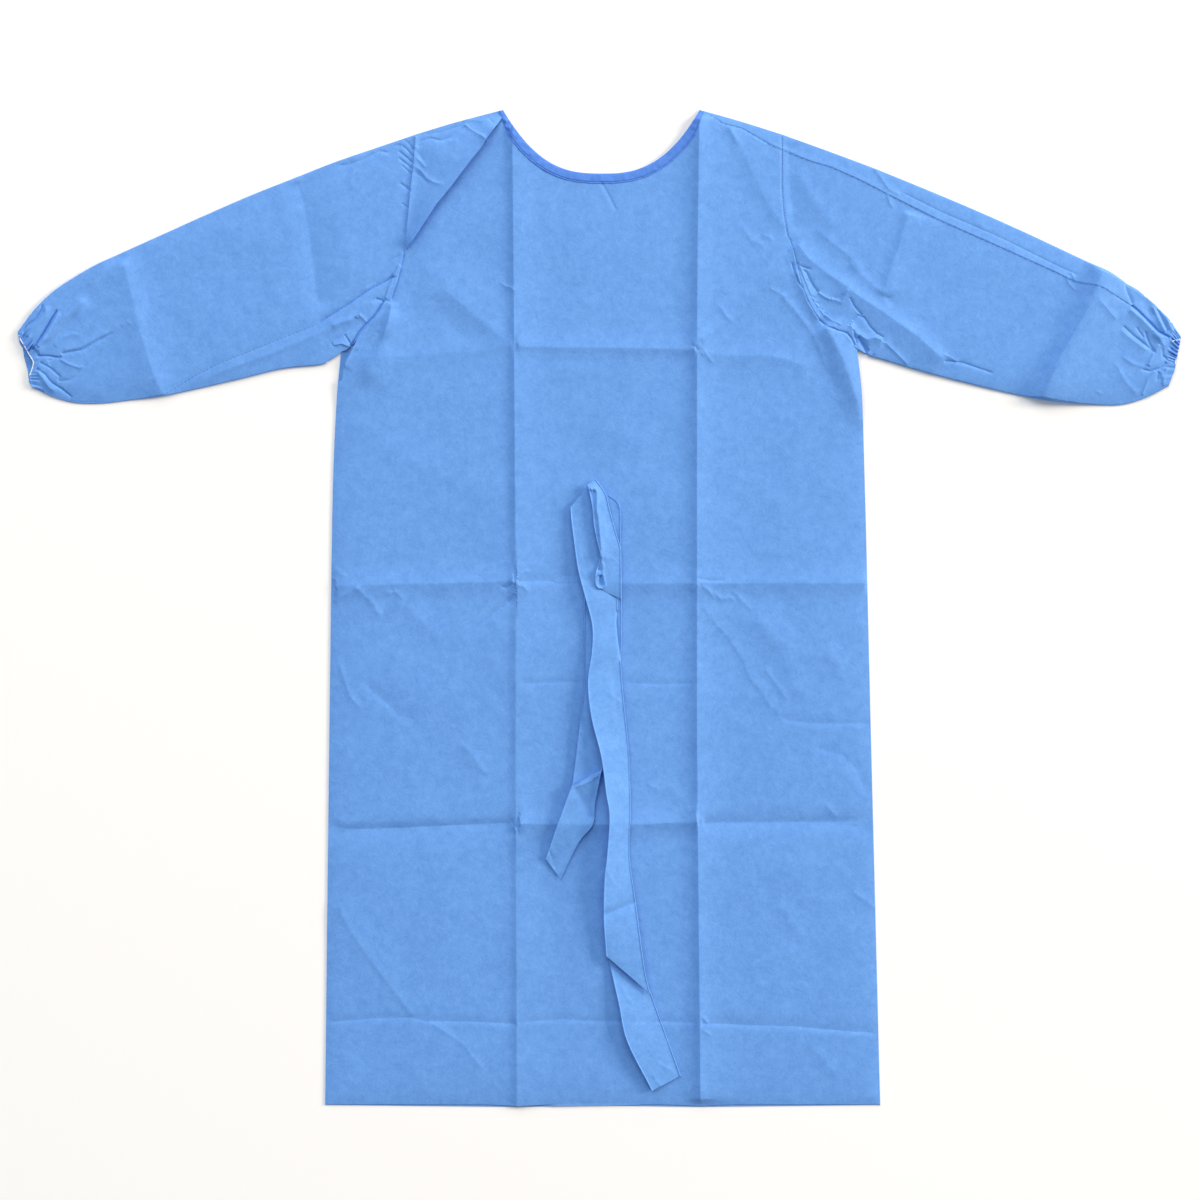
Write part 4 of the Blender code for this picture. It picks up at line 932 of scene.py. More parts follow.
# The cloth itself
# Spun-bonded nonwoven: matt, with a faint sheen, bonded all over in a fine slanting lattice
# of points, and a little cloudy where the fibres lie thicker or thinner.
BOND_PITCH = 0.0030
BOND_DEPTH = 0.000012
BOND_STRENGTH = 0.8
BOND_SHADE = 0.06
BOND_WANDER = 0.0022
BOND_TURN = 45
CLOUDING = (0.19, 0.14, 0.09)
CLOUD_SHADE = 1.6
CLOUD_MIDDLE = -0.9
FIBRE_SHADE = 1.2
CRUMPLE_SIZE = 0.030
CRUMPLE_DEPTH = 0.0007
Noise = namedtuple("Noise", "scale detail roughness distortion", defaults=(0.0,))
WANDER = Noise(150.0, 2.0, 0.5)
CLOUDS = Noise(85.0, 4.0, 0.72)
FIBRES = Noise(300.0, 3.0, 0.7)
CRUMPLE = Noise(1.0 / CRUMPLE_SIZE, 5.0, 0.62, 0.8)
CLOTH_BLUE = (0.128, 0.325, 0.762)


def math_node(tree, operation, *values):
    """The result of one sum on numbers and sockets."""
    node = tree.nodes.new("ShaderNodeMath")
    node.operation = operation
    for socket, value in zip(node.inputs, values):
        if isinstance(value, (int, float)):
            socket.default_value = value
        else:
            tree.links.new(value, socket)
    return node.outputs[0]


def noise(tree, place, kind, output="Fac"):
    """An even cloudy pattern on the piece's own coordinates."""
    node = tree.nodes.new("ShaderNodeTexNoise")
    for name, value in zip(("Scale", "Detail", "Roughness", "Distortion"), kind):
        node.inputs[name].default_value = value
    tree.links.new(place.outputs["Object"], node.inputs["Vector"])
    return node.outputs[output]


def bump(tree, height, distance, strength):
    """A bump node on a height, whose normal input is still free."""
    node = tree.nodes.new("ShaderNodeBump")
    node.inputs["Distance"].default_value = distance
    node.inputs["Strength"].default_value = strength
    tree.links.new(height, node.inputs["Height"])
    return node


def toned(tree, shader, shade, dark, light):
    """Colours a shader between two tones."""
    ramp = tree.nodes.new("ShaderNodeMix")
    ramp.data_type = "RGBA"
    ramp.inputs["A"].default_value = (*dark, 1.0)
    ramp.inputs["B"].default_value = (*light, 1.0)
    tree.links.new(shade, ramp.inputs["Factor"])
    tree.links.new(ramp.outputs["Result"], shader.inputs["Base Color"])


def nonwoven(name, colour, turn):
    """Cloth of one colour whose lattice of bonds is turned by an angle in degrees."""
    material, tree, shader = new_material(name, 0.72, 0.25, 0.10)
    place = tree.nodes.new("ShaderNodeTexCoord")
    mapping = tree.nodes.new("ShaderNodeMapping")
    mapping.inputs["Rotation"].default_value = (0.0, 0.0, math.radians(BOND_TURN + turn))
    tree.links.new(place.outputs["Object"], mapping.inputs["Vector"])
    wander = tree.nodes.new("ShaderNodeVectorMath")
    wander.operation = "MULTIPLY_ADD"
    tree.links.new(noise(tree, place, WANDER, "Color"), wander.inputs[0])
    wander.inputs[1].default_value = (BOND_WANDER, BOND_WANDER, 0.0)
    tree.links.new(mapping.outputs["Vector"], wander.inputs[2])
    split = tree.nodes.new("ShaderNodeSeparateXYZ")
    tree.links.new(wander.outputs["Vector"], split.inputs[0])
    wave = 2 * math.pi / BOND_PITCH
    across = math_node(tree, "SINE", math_node(tree, "MULTIPLY", split.outputs["X"], wave))
    along = math_node(tree, "SINE", math_node(tree, "MULTIPLY", split.outputs["Y"], wave))
    bonds = math_node(tree, "ADD", across, along)
    shade = math_node(tree, "MULTIPLY_ADD", noise(tree, place, CLOUDS), CLOUD_SHADE, CLOUD_MIDDLE)
    shade = math_node(tree, "MULTIPLY_ADD", bonds, BOND_SHADE, shade)
    shade = math_node(tree, "MULTIPLY_ADD", noise(tree, place, FIBRES), FIBRE_SHADE, shade)
    dark, light = ([part * (1 + sign * change) for part, change in zip(colour, CLOUDING)]
                   for sign in (-1, 1))
    toned(tree, shader, shade, dark, light)
    soft = bump(tree, noise(tree, place, CRUMPLE), CRUMPLE_DEPTH, 1.0)
    fine = bump(tree, bonds, BOND_DEPTH, BOND_STRENGTH)
    tree.links.new(soft.outputs["Normal"], fine.inputs["Normal"])
    tree.links.new(fine.outputs["Normal"], shader.inputs["Normal"])
    return material


def fibrous(name, dark, light, fineness, roughness, sheen=0.0):
    """A thread that wavers between two tones from fibre to fibre."""
    material, tree, shader = new_material(name, roughness, sheen=sheen)
    place = tree.nodes.new("ShaderNodeTexCoord")
    toned(tree, shader, noise(tree, place, Noise(fineness, 2.0, 0.6)), dark, light)
    return material


body_cloth = nonwoven("body_cloth", CLOTH_BLUE, 0)


def keep(piece, slot):
    """What is done with every piece: it lies with the gown and stands for its solid, which is hidden. Its
    slot is not used.
    """
    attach(piece, "root")
    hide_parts(piece.name.removesuffix("_cloth"))
    return piece


# Front
# One piece of cloth from neck to hem, cut open only at the neck. Its raw hem lies on the
# back's, its left shoulder rolls over to the back, and a pleat stands at the left shoulder.
NECK_LEFT = -0.116
NECK_RIGHT = 0.121
NECK_DEPTH = 0.077
NECK_POWER = 2.7
NECK_INSET = 0.006
BINDING_WIDTH = 0.012
NECK_POINTS = 161
NARROWEST = 0.45
NARROWING = 4.0
EDGE_STEP = 0.0025
DOUBLED = 0.0006
CORNER_GAP = 0.001
LAYER_GAP = 0.0002
SHOULDER_TUCK = 0.007
UNDER_DROP = CLOTH + LAYER_GAP
UNDER_RAMP = 0.0020
UNDER_START = 0.3
PLEAT_EDGE = [
    (503.5, 116), (498.5, 123.8), (489.5, 135.8), (481.5, 148.6), (469.2, 163.8), (452.3, 186.4),
    (437.2, 204.8), (424.4, 224.4), (413.2, 241.2), (405.3, 252),
]
ARMPIT_EDGE = [(342.2, 380), (343.6, 369), (347.3, 359.4), (352, 350.5), (356.5, 341.5)]
PLEAT_RISE = 0.0086
PLEAT_STARTS = 0.024
PLEAT_ENDS = 0.018
PLEAT_BEND = 1.3
PLEAT_LAP = 0.012
PLEAT_LAP_SHARE = 0.6
PLEAT_ROLL = 0.0005
PANEL_TOP_GAP = 0.0025
UNDERLAY_CLEAR = 0.010
UNDERLAY_LEFT = -0.224
PANEL_COARSE = 0.006
FRONT_HEM_SHIFT = 0.0009


def neck_line(inset, start=NECK_LEFT, end=NECK_RIGHT, count=NECK_POINTS):
    """The neck edge from left to right, moved into the cloth by inset, less at its ends."""
    middle = (NECK_LEFT + NECK_RIGHT) / 2
    half = (NECK_RIGHT - NECK_LEFT) / 2
    turns = np.linspace(math.acos(max(-1, (middle - start) / half)),
                        math.acos(max(-1, (middle - end) / half)), count)
    x = middle - half * np.cos(turns)
    u = (x - middle) / half
    y = NECK_TOP - NECK_DEPTH * (1 - np.abs(u) ** NECK_POWER)
    slope = NECK_DEPTH * NECK_POWER * np.abs(u) ** (NECK_POWER - 1) * np.sign(u) / half
    length = np.hypot(1.0, slope)
    narrow = inset * np.minimum(1.0, NARROWEST + NARROWING * (1 - np.abs(u)))
    return np.column_stack([x + narrow * slope / length, y - narrow / length])


def left_hand_of(line):
    """Unit vectors to the left hand of a line at each of its points."""
    run = np.gradient(line, axis=0)
    run /= np.hypot(*run.T)[:, None]
    return np.column_stack([-run[:, 1], run[:, 0]])


def tucked(line, back, rest=0.0, widest=1.0):
    """A folded stretch of outline: its points, then for each the way back under the cloth, the
    height that it comes down to and the largest radius of its roll."""
    return np.column_stack([line, back, np.full(len(back), rest), np.full(len(back), widest)])


def ring_of(*parts):
    """Joins the stretches of an outline, cut or tucked, and drops doubled points."""
    whole = np.vstack([np.pad(part, ((0, 0), (0, 6 - part.shape[1]))) for part in parts])
    gap = np.hypot(*(whole - np.roll(whole, 1, axis=0))[:, :2].T)
    whole = whole[gap > DOUBLED]
    return whole[:, :2], whole[:, 2:]


def laid_under(*lines):
    """Height of a piece that passes under another to the left hand of each line."""
    def height(points):
        points = np.asarray(points, float)
        share = np.zeros(len(points))
        for line in lines:
            distance, hand, *_ = beside(points, line)
            share = np.maximum(share, smooth_step(UNDER_START + hand * distance / UNDER_RAMP))
        return cloth_height(points) - UNDER_DROP * share
    return height


neck_edge = evenly(neck_line(NECK_INSET), EDGE_STEP)
shoulder = evenly(SHOULDER_LEFT, EDGE_STEP / 2)[:-2]
pleat = evenly(spots(PLEAT_EDGE), EDGE_STEP / 2)
pleat_side = -left_hand_of(pleat)
seam_right = evenly(SHOULDER_SEAM, EDGE_STEP)
armhole_right = eased(ARMHOLE_RIGHT, EDGE_STEP)
armhole_left = eased(ARMHOLE_LEFT, EDGE_STEP)
below_seam = armhole_right[armhole_right[:, 1] < SHOULDER_SEAM[-1][1] - CORNER_GAP]
above_seam = armhole_right[armhole_right[:, 1] > SHOULDER_SEAM[-1][1] + CORNER_GAP]
above_pleat = armhole_left[armhole_left[:, 1] > pleat[-1, 1] + CORNER_GAP][::-1]
below_pleat = armhole_left[armhole_left[:, 1] < pleat[-1, 1] + PLEAT_LAP][::-1]
held = np.vstack([above_pleat[:-1], evenly(SHOULDER_LEFT, EDGE_STEP)])
underlay = pleat + pleat_side * PLEAT_LAP
clear = (beside(underlay, held)[0] > UNDERLAY_CLEAR) & (underlay[:, 0] > UNDERLAY_LEFT)
underlay = underlay[clear][::-1]


def pleat_height(points):
    """Height of the shoulder panel, which lifts towards its folded edge."""
    points = np.asarray(points, float)
    to_fold, _, place, length = beside(points, pleat)
    to_seam = beside(points, held)[0]
    lift = smooth_step(place / PLEAT_STARTS) * smooth_step((length - place) / PLEAT_ENDS)
    share = to_seam / (to_seam + to_fold + 1e-6)
    lift = (PLEAT_RISE * lift + CLOTH) * share ** PLEAT_BEND
    return np.clip(cloth_height(points) + lift, LOWEST_CLOTH, HIGHEST_CLOTH)


under_pleat = laid_under(pleat[::-1])
pleat_lap = np.minimum(PLEAT_LAP, PLEAT_LAP_SHARE * beside(pleat, held)[0] + CORNER_GAP)
pleat_back = pleat_side * pleat_lap[:, None]
at_pleat = neck_edge[:, 0] < 0
panel_outline, panel_tuck = ring_of(
    above_pleat[:-1],
    tucked(shoulder, -left_hand_of(shoulder) * SHOULDER_TUCK),
    neck_edge[at_pleat & (neck_edge[:, 1] > pleat[0, 1] + CORNER_GAP)
              & (neck_edge[:, 1] < NECK_TOP - PANEL_TOP_GAP)],
    tucked(pleat, pleat_back, under_pleat(pleat + pleat_back) + LAYER_GAP, PLEAT_ROLL),
)
armpit = evenly(spots(ARMPIT_EDGE), EDGE_STEP)
front_side = eased(SIDE_LEFT, EDGE_STEP)[::-1]
front_side = front_side[front_side[:, 1] < armpit[0, 1] - CORNER_GAP]
below_pleat = below_pleat[below_pleat[:, 1] > armpit[-1, 1] + CORNER_GAP]
main_outline, _ = ring_of(
    neck_edge[~at_pleat | (neck_edge[:, 1] < pleat[0, 1] - CORNER_GAP)],
    seam_right,
    below_seam,
    eased(SIDE_RIGHT, EDGE_STEP)[1:],
    evenly(hem_line(FRONT_HEM_SHIFT), EDGE_STEP)[::-1],
    front_side[1:],
    armpit,
    below_pleat,
    underlay,
)
front = keep(joined("front", [
    cloth_piece("main_panel", main_outline, height=under_pleat),
    cloth_piece("shoulder_panel", panel_outline, panel_tuck, PANEL_COARSE, pleat_height),
]), "body_cloth")


# Backs
# Two panels of the same cloth lie flat on the table under the front, the left one lapping
# over the right one at the centre. The right one also turns over its shoulder to the seam.
BACK_LAP = 0.050
BACK_HEM = HEM + 0.0004
LAP_RAMP = 0.012
LAP_GAP = 0.0004
BACK_EDGE_REACH = 0.012
LAP_FOOT = -BACK_LAP - LAP_RAMP - 0.005
UNDER_CREASES = [
    Fold([(517, 150), (517, 1100)], 1.0, 9, 9, 0.8, (10, 10)),
    Fold([(700, 130), (700, 1100)], 1.2, 8, 10, 0.8, (10, 10)),
    Fold([(345, 352), (514, 350)], 0.9, 9, 9, 0.8, (20, 4)),
    Fold([(520, 350), (697, 352)], 0.7, 8, 8, 0.8, (4, 4)),
    Fold([(703, 352), (850, 356)], 1.0, 9, 9, 0.8, (4, 20)),
    Fold([(340, 584), (514, 582)], 1.1, 9, 9, 0.8, (10, 4)),
    Fold([(520, 582), (697, 583)], 0.8, 9, 9, 0.8, (4, 4)),
    Fold([(703, 583), (860, 584)], 1.0, 9, 9, 0.8, (4, 10)),
    Fold([(338, 826), (514, 824)], 0.9, 9, 9, 0.8, (10, 4)),
    Fold([(703, 824), (865, 825)], 1.0, 9, 9, 0.8, (4, 10)),
    Fold([(336, 1021), (512, 1019)], 0.6, 7, 7, 0.8, (10, 10)),
    Fold([(706, 1022), (866, 1026)], 0.6, 7, 7, 0.8, (10, 10)),
    Fold([(400, 240), (440, 290), (505, 345)], 0.7, 12, 12, 2.0, (14, 10)),
    Fold([(790, 250), (750, 310), (706, 348)], 0.7, 12, 12, 2.0, (14, 10)),
    Fold([(180, 250), (190, 300), (205, 355)], 0.9, 9, 9, 0.9, (12, 12)),
    Fold([(306, 215), (318, 300)], 0.8, 9, 9, 0.9, (12, 8)),
    Fold([(900, 225), (885, 330)], 0.8, 9, 9, 0.9, (12, 12)),
    Fold([(1060, 285), (1030, 385)], 0.9, 9, 9, 0.9, (12, 12)),
]


def table_height(points):
    """Height over the table of the lower face of the cloth that lies on it."""
    points = np.asarray(points, float)
    height = np.zeros(len(points))
    for fold in UNDER_CREASES:
        height = np.maximum(height, fold_height(points, fold))
    return height * smooth_step(from_outer_edge(points) / BACK_EDGE_REACH)


def back_height(points):
    """Height of the upper face of the cloth that lies on the table."""
    return table_height(points) + CLOTH


def lapped_height(points):
    """The left back's upper face, raised where it passes over the right one."""
    rise = np.clip((points[:, 0] - LAP_FOOT) / LAP_RAMP, 0.0, 1.0)
    return back_height(points) + (CLOTH + LAP_GAP) * rise


def inset_shoulder(line):
    """The back's own edge at a shoulder, inside the turn of the front."""
    line = evenly(line, EDGE_STEP)
    side = left_hand_of(line)
    return line - side * np.sign(side[0, 1]) * SHOULDER_TUCK


left_neck = evenly(neck_line(NECK_INSET, end=BACK_LAP), EDGE_STEP)
right_neck = evenly(neck_line(NECK_INSET, start=-BACK_LAP), EDGE_STEP)
left_corner = (BACK_LAP, BACK_HEM)
right_corner = (-BACK_LAP, BACK_HEM)
back_left_outline, _ = ring_of(
    inset_shoulder(SHOULDER_LEFT)[2:-3],
    left_neck[3:],
    evenly([left_neck[-1], left_corner], EDGE_STEP)[1:],
    evenly([left_corner, (HEM_DIPS[0], HEM_AT_CREASE), (SIDE_LEFT[-1][0], BACK_HEM)], EDGE_STEP)[1:],
    eased(SIDE_LEFT, EDGE_STEP)[::-1][1:],
    armhole_left[::-1][1:-3],
)
back_right_outline, _ = ring_of(
    right_neck[:-3],
    inset_shoulder(SHOULDER_RIGHT)[3:-2],
    armhole_right[3:-1],
    eased(SIDE_RIGHT, EDGE_STEP),
    evenly([(SIDE_RIGHT[-1][0], BACK_HEM), (HEM_DIPS[1], HEM_AT_CREASE), right_corner], EDGE_STEP)[1:],
    evenly([right_corner, right_neck[0]], EDGE_STEP)[1:-1],
)
turned = evenly(SHOULDER_RIGHT, EDGE_STEP)
turned_outline, turned_tuck = ring_of(
    tucked(turned[2:], -left_hand_of(turned)[2:] * SHOULDER_TUCK),
    above_seam[1:],
    seam_right[::-1],
)


def on_table(name, outline, height=back_height):
    """A piece of cloth that lies on the table and carries only the under layer's creases."""
    return cloth_piece(name, outline, None, BACK_COARSE, height, UNDER_CREASES)


back_left = on_table("back_left", back_left_outline, lapped_height)
back_right = joined("back_right", [
    on_table("back_panel", back_right_outline),
    cloth_piece("turned_shoulder", turned_outline, turned_tuck),
])
keep(back_left, "body_cloth")
keep(back_right, "body_cloth")


# Sleeves
# Each sleeve is a flat tube of the same cloth, cut in two. On the left the seam under the arm
# shows, on the right the one along the top. Each half rolls over one edge of the tube and
# lies back on the table, where the two meet again in a hidden seam.
UNDERARM_SEAM = [
    (393, 277.5), (386, 281.5), (375, 287), (364.7, 293), (348.4, 304.3), (330, 316), (314, 326),
    (274, 342), (222, 363), (190, 379), (166, 393.5),
]
HIDDEN_SEAM = 0.08
STRIP_TUCK = 0.024
ARM_ENDS = 0.03
SLEEVE_COARSE = 0.0075
SEAM_LAP = 0.003
ARM_GAP = 0.003


def across(rows, share):
    """On each section of a sleeve, the place that lies a share of the way down from its top."""
    table = np.array(rows)
    return table[:, TOP] + (table[:, BOTTOM] - table[:, TOP]) * share


def seam_places(rows):
    """The visible seam's place on each section of a sleeve."""
    return across(rows, np.array([[row.seam] for row in rows]))


def sleeve_side(rows, side, end):
    """One edge of a sleeve, TOP or BOTTOM, as far as the cuff's seam."""
    line = eased(sleeve_edge(rows, side, end), EDGE_STEP)
    return line[np.abs(line[:, 0]) < abs(rows[-1][side][0])]


def tuck_along(edge, rows, from_top, share):
    """For points along one edge of a sleeve, a share of the way across it to the other edge."""
    table = np.array(rows)
    column = table[:, 0] if from_top else table[:, 2]
    way = (table[:, BOTTOM] - table[:, TOP]) * (share if from_top else -share)
    order = np.argsort(column)
    return np.column_stack([np.interp(edge[:, 0], column[order], part[order]) for part in way.T])


def within(line, low, high):
    """The part of a line between two heights in plan, from the lower to the higher."""
    part = line[(line[:, 1] > low) & (line[:, 1] < high)]
    return part if part[0, 1] < part[-1, 1] else part[::-1]


def sleeve_half(name, seam, edge, cuff_seam, armhole, rows, from_top, share, height):
    """Half a sleeve from its visible seam round one edge of the tube."""
    folded = tucked(edge, tuck_along(edge, rows, from_top, share))
    seam_end = seam[-1, 1]
    if from_top:
        cuff_part = within(cuff_seam, seam_end + CORNER_GAP, 1)[::-1]
        arm_part = within(armhole, seam[0, 1] + CORNER_GAP, edge[0, 1] - ARM_GAP)
    else:
        cuff_part = within(cuff_seam, 0, seam_end - CORNER_GAP)
        arm_part = within(armhole, edge[0, 1] + ARM_GAP, seam[0, 1] - CORNER_GAP)[::-1]
    outline, tucks = ring_of(folded[:-1], cuff_part, seam[::-1], arm_part)
    return cloth_piece(name, outline, tucks, SLEEVE_COARSE, height)


def sleeve_floor(name, edge, cuff_seam, armhole, rows, from_top):
    """The half that lies on the table, from the turn of one edge to the hidden seam."""
    inner = edge + tuck_along(edge, rows, from_top, STRIP_TUCK)
    share = 1 - HIDDEN_SEAM if from_top else HIDDEN_SEAM
    hidden = eased(across(rows, share), EDGE_STEP)
    arm = evenly(armhole, EDGE_STEP)
    along = lengths_along(arm) / lengths_along(arm)[-1]
    low, high = sorted((inner[-1, 1], hidden[-1, 1]))
    cuff_part = within(cuff_seam, low, high)
    if from_top:
        arm = arm[(along > ARM_ENDS) & (along < share)][::-1]
        cuff_part = cuff_part[::-1]
    else:
        arm = arm[(along > share) & (along < 1 - ARM_ENDS)]
    outline, _ = ring_of(inner[1:-1], cuff_part, hidden[::-1][:-1], arm)
    return on_table(name, outline)


left_seam = eased(np.vstack([spots(UNDERARM_SEAM), seam_places(SLEEVE_LEFT)[8:]]), EDGE_STEP)
right_seam = eased(np.vstack([[SHOULDER_SEAM[-1]], spots(RIGHT_TOP_SEAM[5:-1]),
                              [seam_places(SLEEVE_RIGHT)[-1]]]), EDGE_STEP)
for side, rows, ends, armhole, seam, lap, from_top, widths, areas in (
    ("left", SLEEVE_LEFT, CUFF_END_LEFT, armhole_left, left_seam, SEAM_LAP, True,
     (0.210, 0.370), (0.089, 0.093)),
    ("right", SLEEVE_RIGHT, CUFF_END_RIGHT, armhole_right, right_seam, -SEAM_LAP, False,
     (0.285, 0.285), (0.085, 0.099)),
):
    top = sleeve_side(rows, TOP, ends[0])
    bottom = sleeve_side(rows, BOTTOM, ends[1])
    front_edge, back_edge = (top, bottom) if from_top else (bottom, top)
    cuff_seam = evenly([rows[-1][TOP], rows[-1][BOTTOM]], EDGE_STEP)
    body_edge = armhole if from_top else armhole[::-1]
    lapped_armhole = armhole + [lap, 0.0]
    lapped_seam = seam - left_hand_of(seam) * SEAM_LAP
    front_half = sleeve_half(f"sleeve_{side}_front", seam, front_edge, cuff_seam, lapped_armhole,
                             rows, from_top, HIDDEN_SEAM, laid_under(body_edge))
    back_half = joined(f"sleeve_{side}_back", [
        sleeve_half("strip", lapped_seam, back_edge, cuff_seam, lapped_armhole, rows,
                    not from_top, STRIP_TUCK, laid_under(body_edge, seam[::-1])),
        sleeve_floor("floor", back_edge, cuff_seam, armhole, rows, not from_top),
    ])
    for half, width, area, below in zip((front_half, back_half), widths, areas,
                                        ([f"sleeve_{side}_back_cloth"], [])):
        keep(half, "sleeve_cloth")


# Cuffs
# The end of each sleeve is drawn in by a thin elastic sewn round inside it, so the cloth
# stands in small uneven gathers. On the left the front layer is pulled back in a notch.
LEFT_CUFF_FRONT = [
    (18, 331.5), (18.8, 337), (24.2, 345.4), (29, 353), (34, 360), (34.5, 366), (31.5, 372),
    (29.5, 379), (31.5, 386.6), (34.5, 388),
]
LEFT_CUFF_BACK = [(18, 331.5), (19.4, 341.8), (23, 349), (24.2, 357.5), (28, 371), (29, 381.8),
                  (31.5, 386.6), (34.5, 388)]
RIGHT_CUFF_ENDS = [(1180.6, 336), (1179, 344.5), (1177, 354.8), (1174.3, 369.7), (1168, 386.5)]
CUFF_BLUE = (0.124, 0.317, 0.752)
CUFF_COLUMNS = 240
CUFF_ROWS = 10
CUFF_ROLL = 0.05
CUFF_FLOOR = CLOTH + 0.0004
GATHER_RISE = 0.0013
GATHERS = 13
GATHER_WAVES = 4
GATHER_SPREAD = (0.7, 1.5)
GATHER_CREST = 1.9
GATHER_LIMITS = (-1.3, 1.5)
GATHER_DRIFT = 0.022
DRIFTS = 2.3
CALM_SHARE = 0.30
STRONG_SHARE = 0.85
GATHERS_FROM = 0.08
GATHERS_GROW = 0.10
GATHERS_TO = 0.52
GATHERS_SHRINK = 0.14


def cuff_plan(start, end):
    """Rows of points in plan from the sleeve's end to the cuff's own."""
    shares = np.linspace(0.0, 1.0, CUFF_COLUMNS + 1)
    lines = []
    for line in (start, end):
        line = np.asarray(line, float)
        along = lengths_along(line) / lengths_along(line)[-1]
        lines.append(np.column_stack([np.interp(shares, along, part) for part in line.T]))
    steps = np.linspace(0.0, 1.0, CUFF_ROWS + 1)[:, None, None]
    return shares, lines[0] + (lines[1] - lines[0]) * steps


def shell(name, upper, lower, material):
    """A closed shell between two grids of points with the same rows."""
    rows, columns = upper.shape[:2]
    count = rows * columns
    verts = np.vstack([upper.reshape(-1, 3), lower.reshape(-1, 3)])
    faces = []
    for row in range(rows - 1):
        for column in range(columns - 1):
            a = row * columns + column
            quad = (a, a + 1, a + 1 + columns, a + columns)
            faces.append(quad)
            faces.append(tuple(corner + count for corner in quad[::-1]))
    rim = list(range(columns))
    rim += [row * columns + columns - 1 for row in range(1, rows)]
    rim += [(rows - 1) * columns + column for column in range(columns - 2, -1, -1)]
    rim += [row * columns for row in range(rows - 2, 0, -1)]
    for a, b in zip(rim, rim[1:] + rim[:1]):
        faces.append((b, a, a + count, b + count))
    return finished_mesh(name, verts, faces, material, True)


def cuff(name, rows, end, seed, front):
    """Half a cuff from the sleeve's end, flat where it starts and gathered at its own end."""
    start = [rows[-1][TOP], rows[-1][BOTTOM]]
    shares, plan = cuff_plan(start, spots(end))
    random = np.random.default_rng(seed)
    wander = np.sin(2 * math.pi * (DRIFTS * shares + random.uniform(0, 1)))
    wander = shares + GATHER_DRIFT * wander
    wave = np.zeros(len(shares))
    for _ in range(GATHER_WAVES):
        count = GATHERS * random.uniform(*GATHER_SPREAD)
        wave += np.sin(2 * math.pi * (count * wander + random.uniform(0, 1))) / GATHER_CREST
    strong = smooth_step((shares - GATHERS_FROM) / GATHERS_GROW)
    strong = strong * smooth_step((GATHERS_TO - shares) / GATHERS_SHRINK)
    wave = np.clip(wave, *GATHER_LIMITS) * (CALM_SHARE + STRONG_SHARE * strong)
    side = np.minimum(shares, 1 - shares)
    roll = np.sqrt(1 - (1 - np.clip(side / CUFF_ROLL, 0.0, 1.0)) ** 2)
    upper = []
    for number, line in enumerate(plan):
        swell = GATHER_RISE * smooth_step(2 * number / CUFF_ROWS) * wave
        if front:
            top = CUFF_FLOOR + (cloth_height(line) + swell - CUFF_FLOOR) * roll
        else:
            top = CLOTH + np.abs(swell) / 2
        upper.append(np.column_stack([line, top]))
    upper = np.array(upper)
    return shell(name, upper, upper - [0.0, 0.0, CLOTH], cuff_cloth)


cuff_cloth = nonwoven("cuff_cloth", CUFF_BLUE, 12)
for name, rows, end, seed, facing, depth, area in (
    ("cuff_left_front", SLEEVE_LEFT, LEFT_CUFF_FRONT, 11, True, 0.020, 0.0015),
    ("cuff_left_back", SLEEVE_LEFT, LEFT_CUFF_BACK, 12, False, 0.019, 0.0015),
    ("cuff_right_front", SLEEVE_RIGHT, RIGHT_CUFF_ENDS, 13, True, 0.020, 0.0016),
    ("cuff_right_back", SLEEVE_RIGHT, RIGHT_CUFF_ENDS, 14, False, 0.018, 0.0013),
):
    band = keep(cuff(name, rows, end, seed, facing), "cuff_band")


# Elastic of the cuffs
# A thin white elastic cord runs inside the edge of each cuff. It shows along the notch of the
# left cuff, and in two short bits at the end of the right one, and only that is made.
ELASTIC_RADIUS = 0.0007
ELASTIC_SIDES = 8
ELASTIC_STEP = 0.0012
LEFT_ELASTIC = [
    (19.4, 335.5), (21.3, 340.5), (25.1, 346.6), (29.6, 354.8), (33.4, 361.0), (33.6, 365.2),
    (32.0, 370.5), (30.2, 375.5),
]
RIGHT_ELASTICS = [
    [(1171.8, 341.6), (1174.6, 340.6), (1177.2, 340.2), (1179.8, 339.4)],
    [(1175.6, 359.0), (1175.0, 361.5), (1174.6, 364.4)],
]
elastic_white = fibrous("elastic_white", (0.50, 0.62, 0.80), (0.88, 0.91, 0.95), 900.0, 0.7)


def cord_loops(path):
    """Lines side by side round a thin cord that lies half sunk in the cloth along a path."""
    line = eased(spots(path), ELASTIC_STEP)
    side = left_hand_of(line)
    height = cloth_height(line)
    turns = np.linspace(0, 2 * math.pi, ELASTIC_SIDES, endpoint=False)
    return np.array([np.column_stack([line + side * (ELASTIC_RADIUS * math.cos(turn)),
                                      height + ELASTIC_RADIUS * math.sin(turn)]) for turn in turns])


def closed_tube(name, loops, material):
    """A mesh from lines that run side by side round a tube, its two ends closed."""
    turns, count = loops.shape[:2]
    faces = []
    for turn in range(turns):
        for place in range(count - 1):
            a = turn * count + place
            b = (turn + 1) % turns * count + place
            faces.append((a, a + 1, b + 1, b))
    faces.append(tuple(turn * count for turn in range(turns)))
    faces.append(tuple(turn * count + count - 1 for turn in range(turns))[::-1])
    return finished_mesh(name, loops.reshape(-1, 3), faces, material, True)


left_elastic = closed_tube("left_elastic", cord_loops(LEFT_ELASTIC), elastic_white)
right_elastic = joined("right_elastic", [
    closed_tube("bit", cord_loops(path), elastic_white) for path in RIGHT_ELASTICS])
for elastic in (left_elastic, right_elastic):
    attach(elastic, "root")


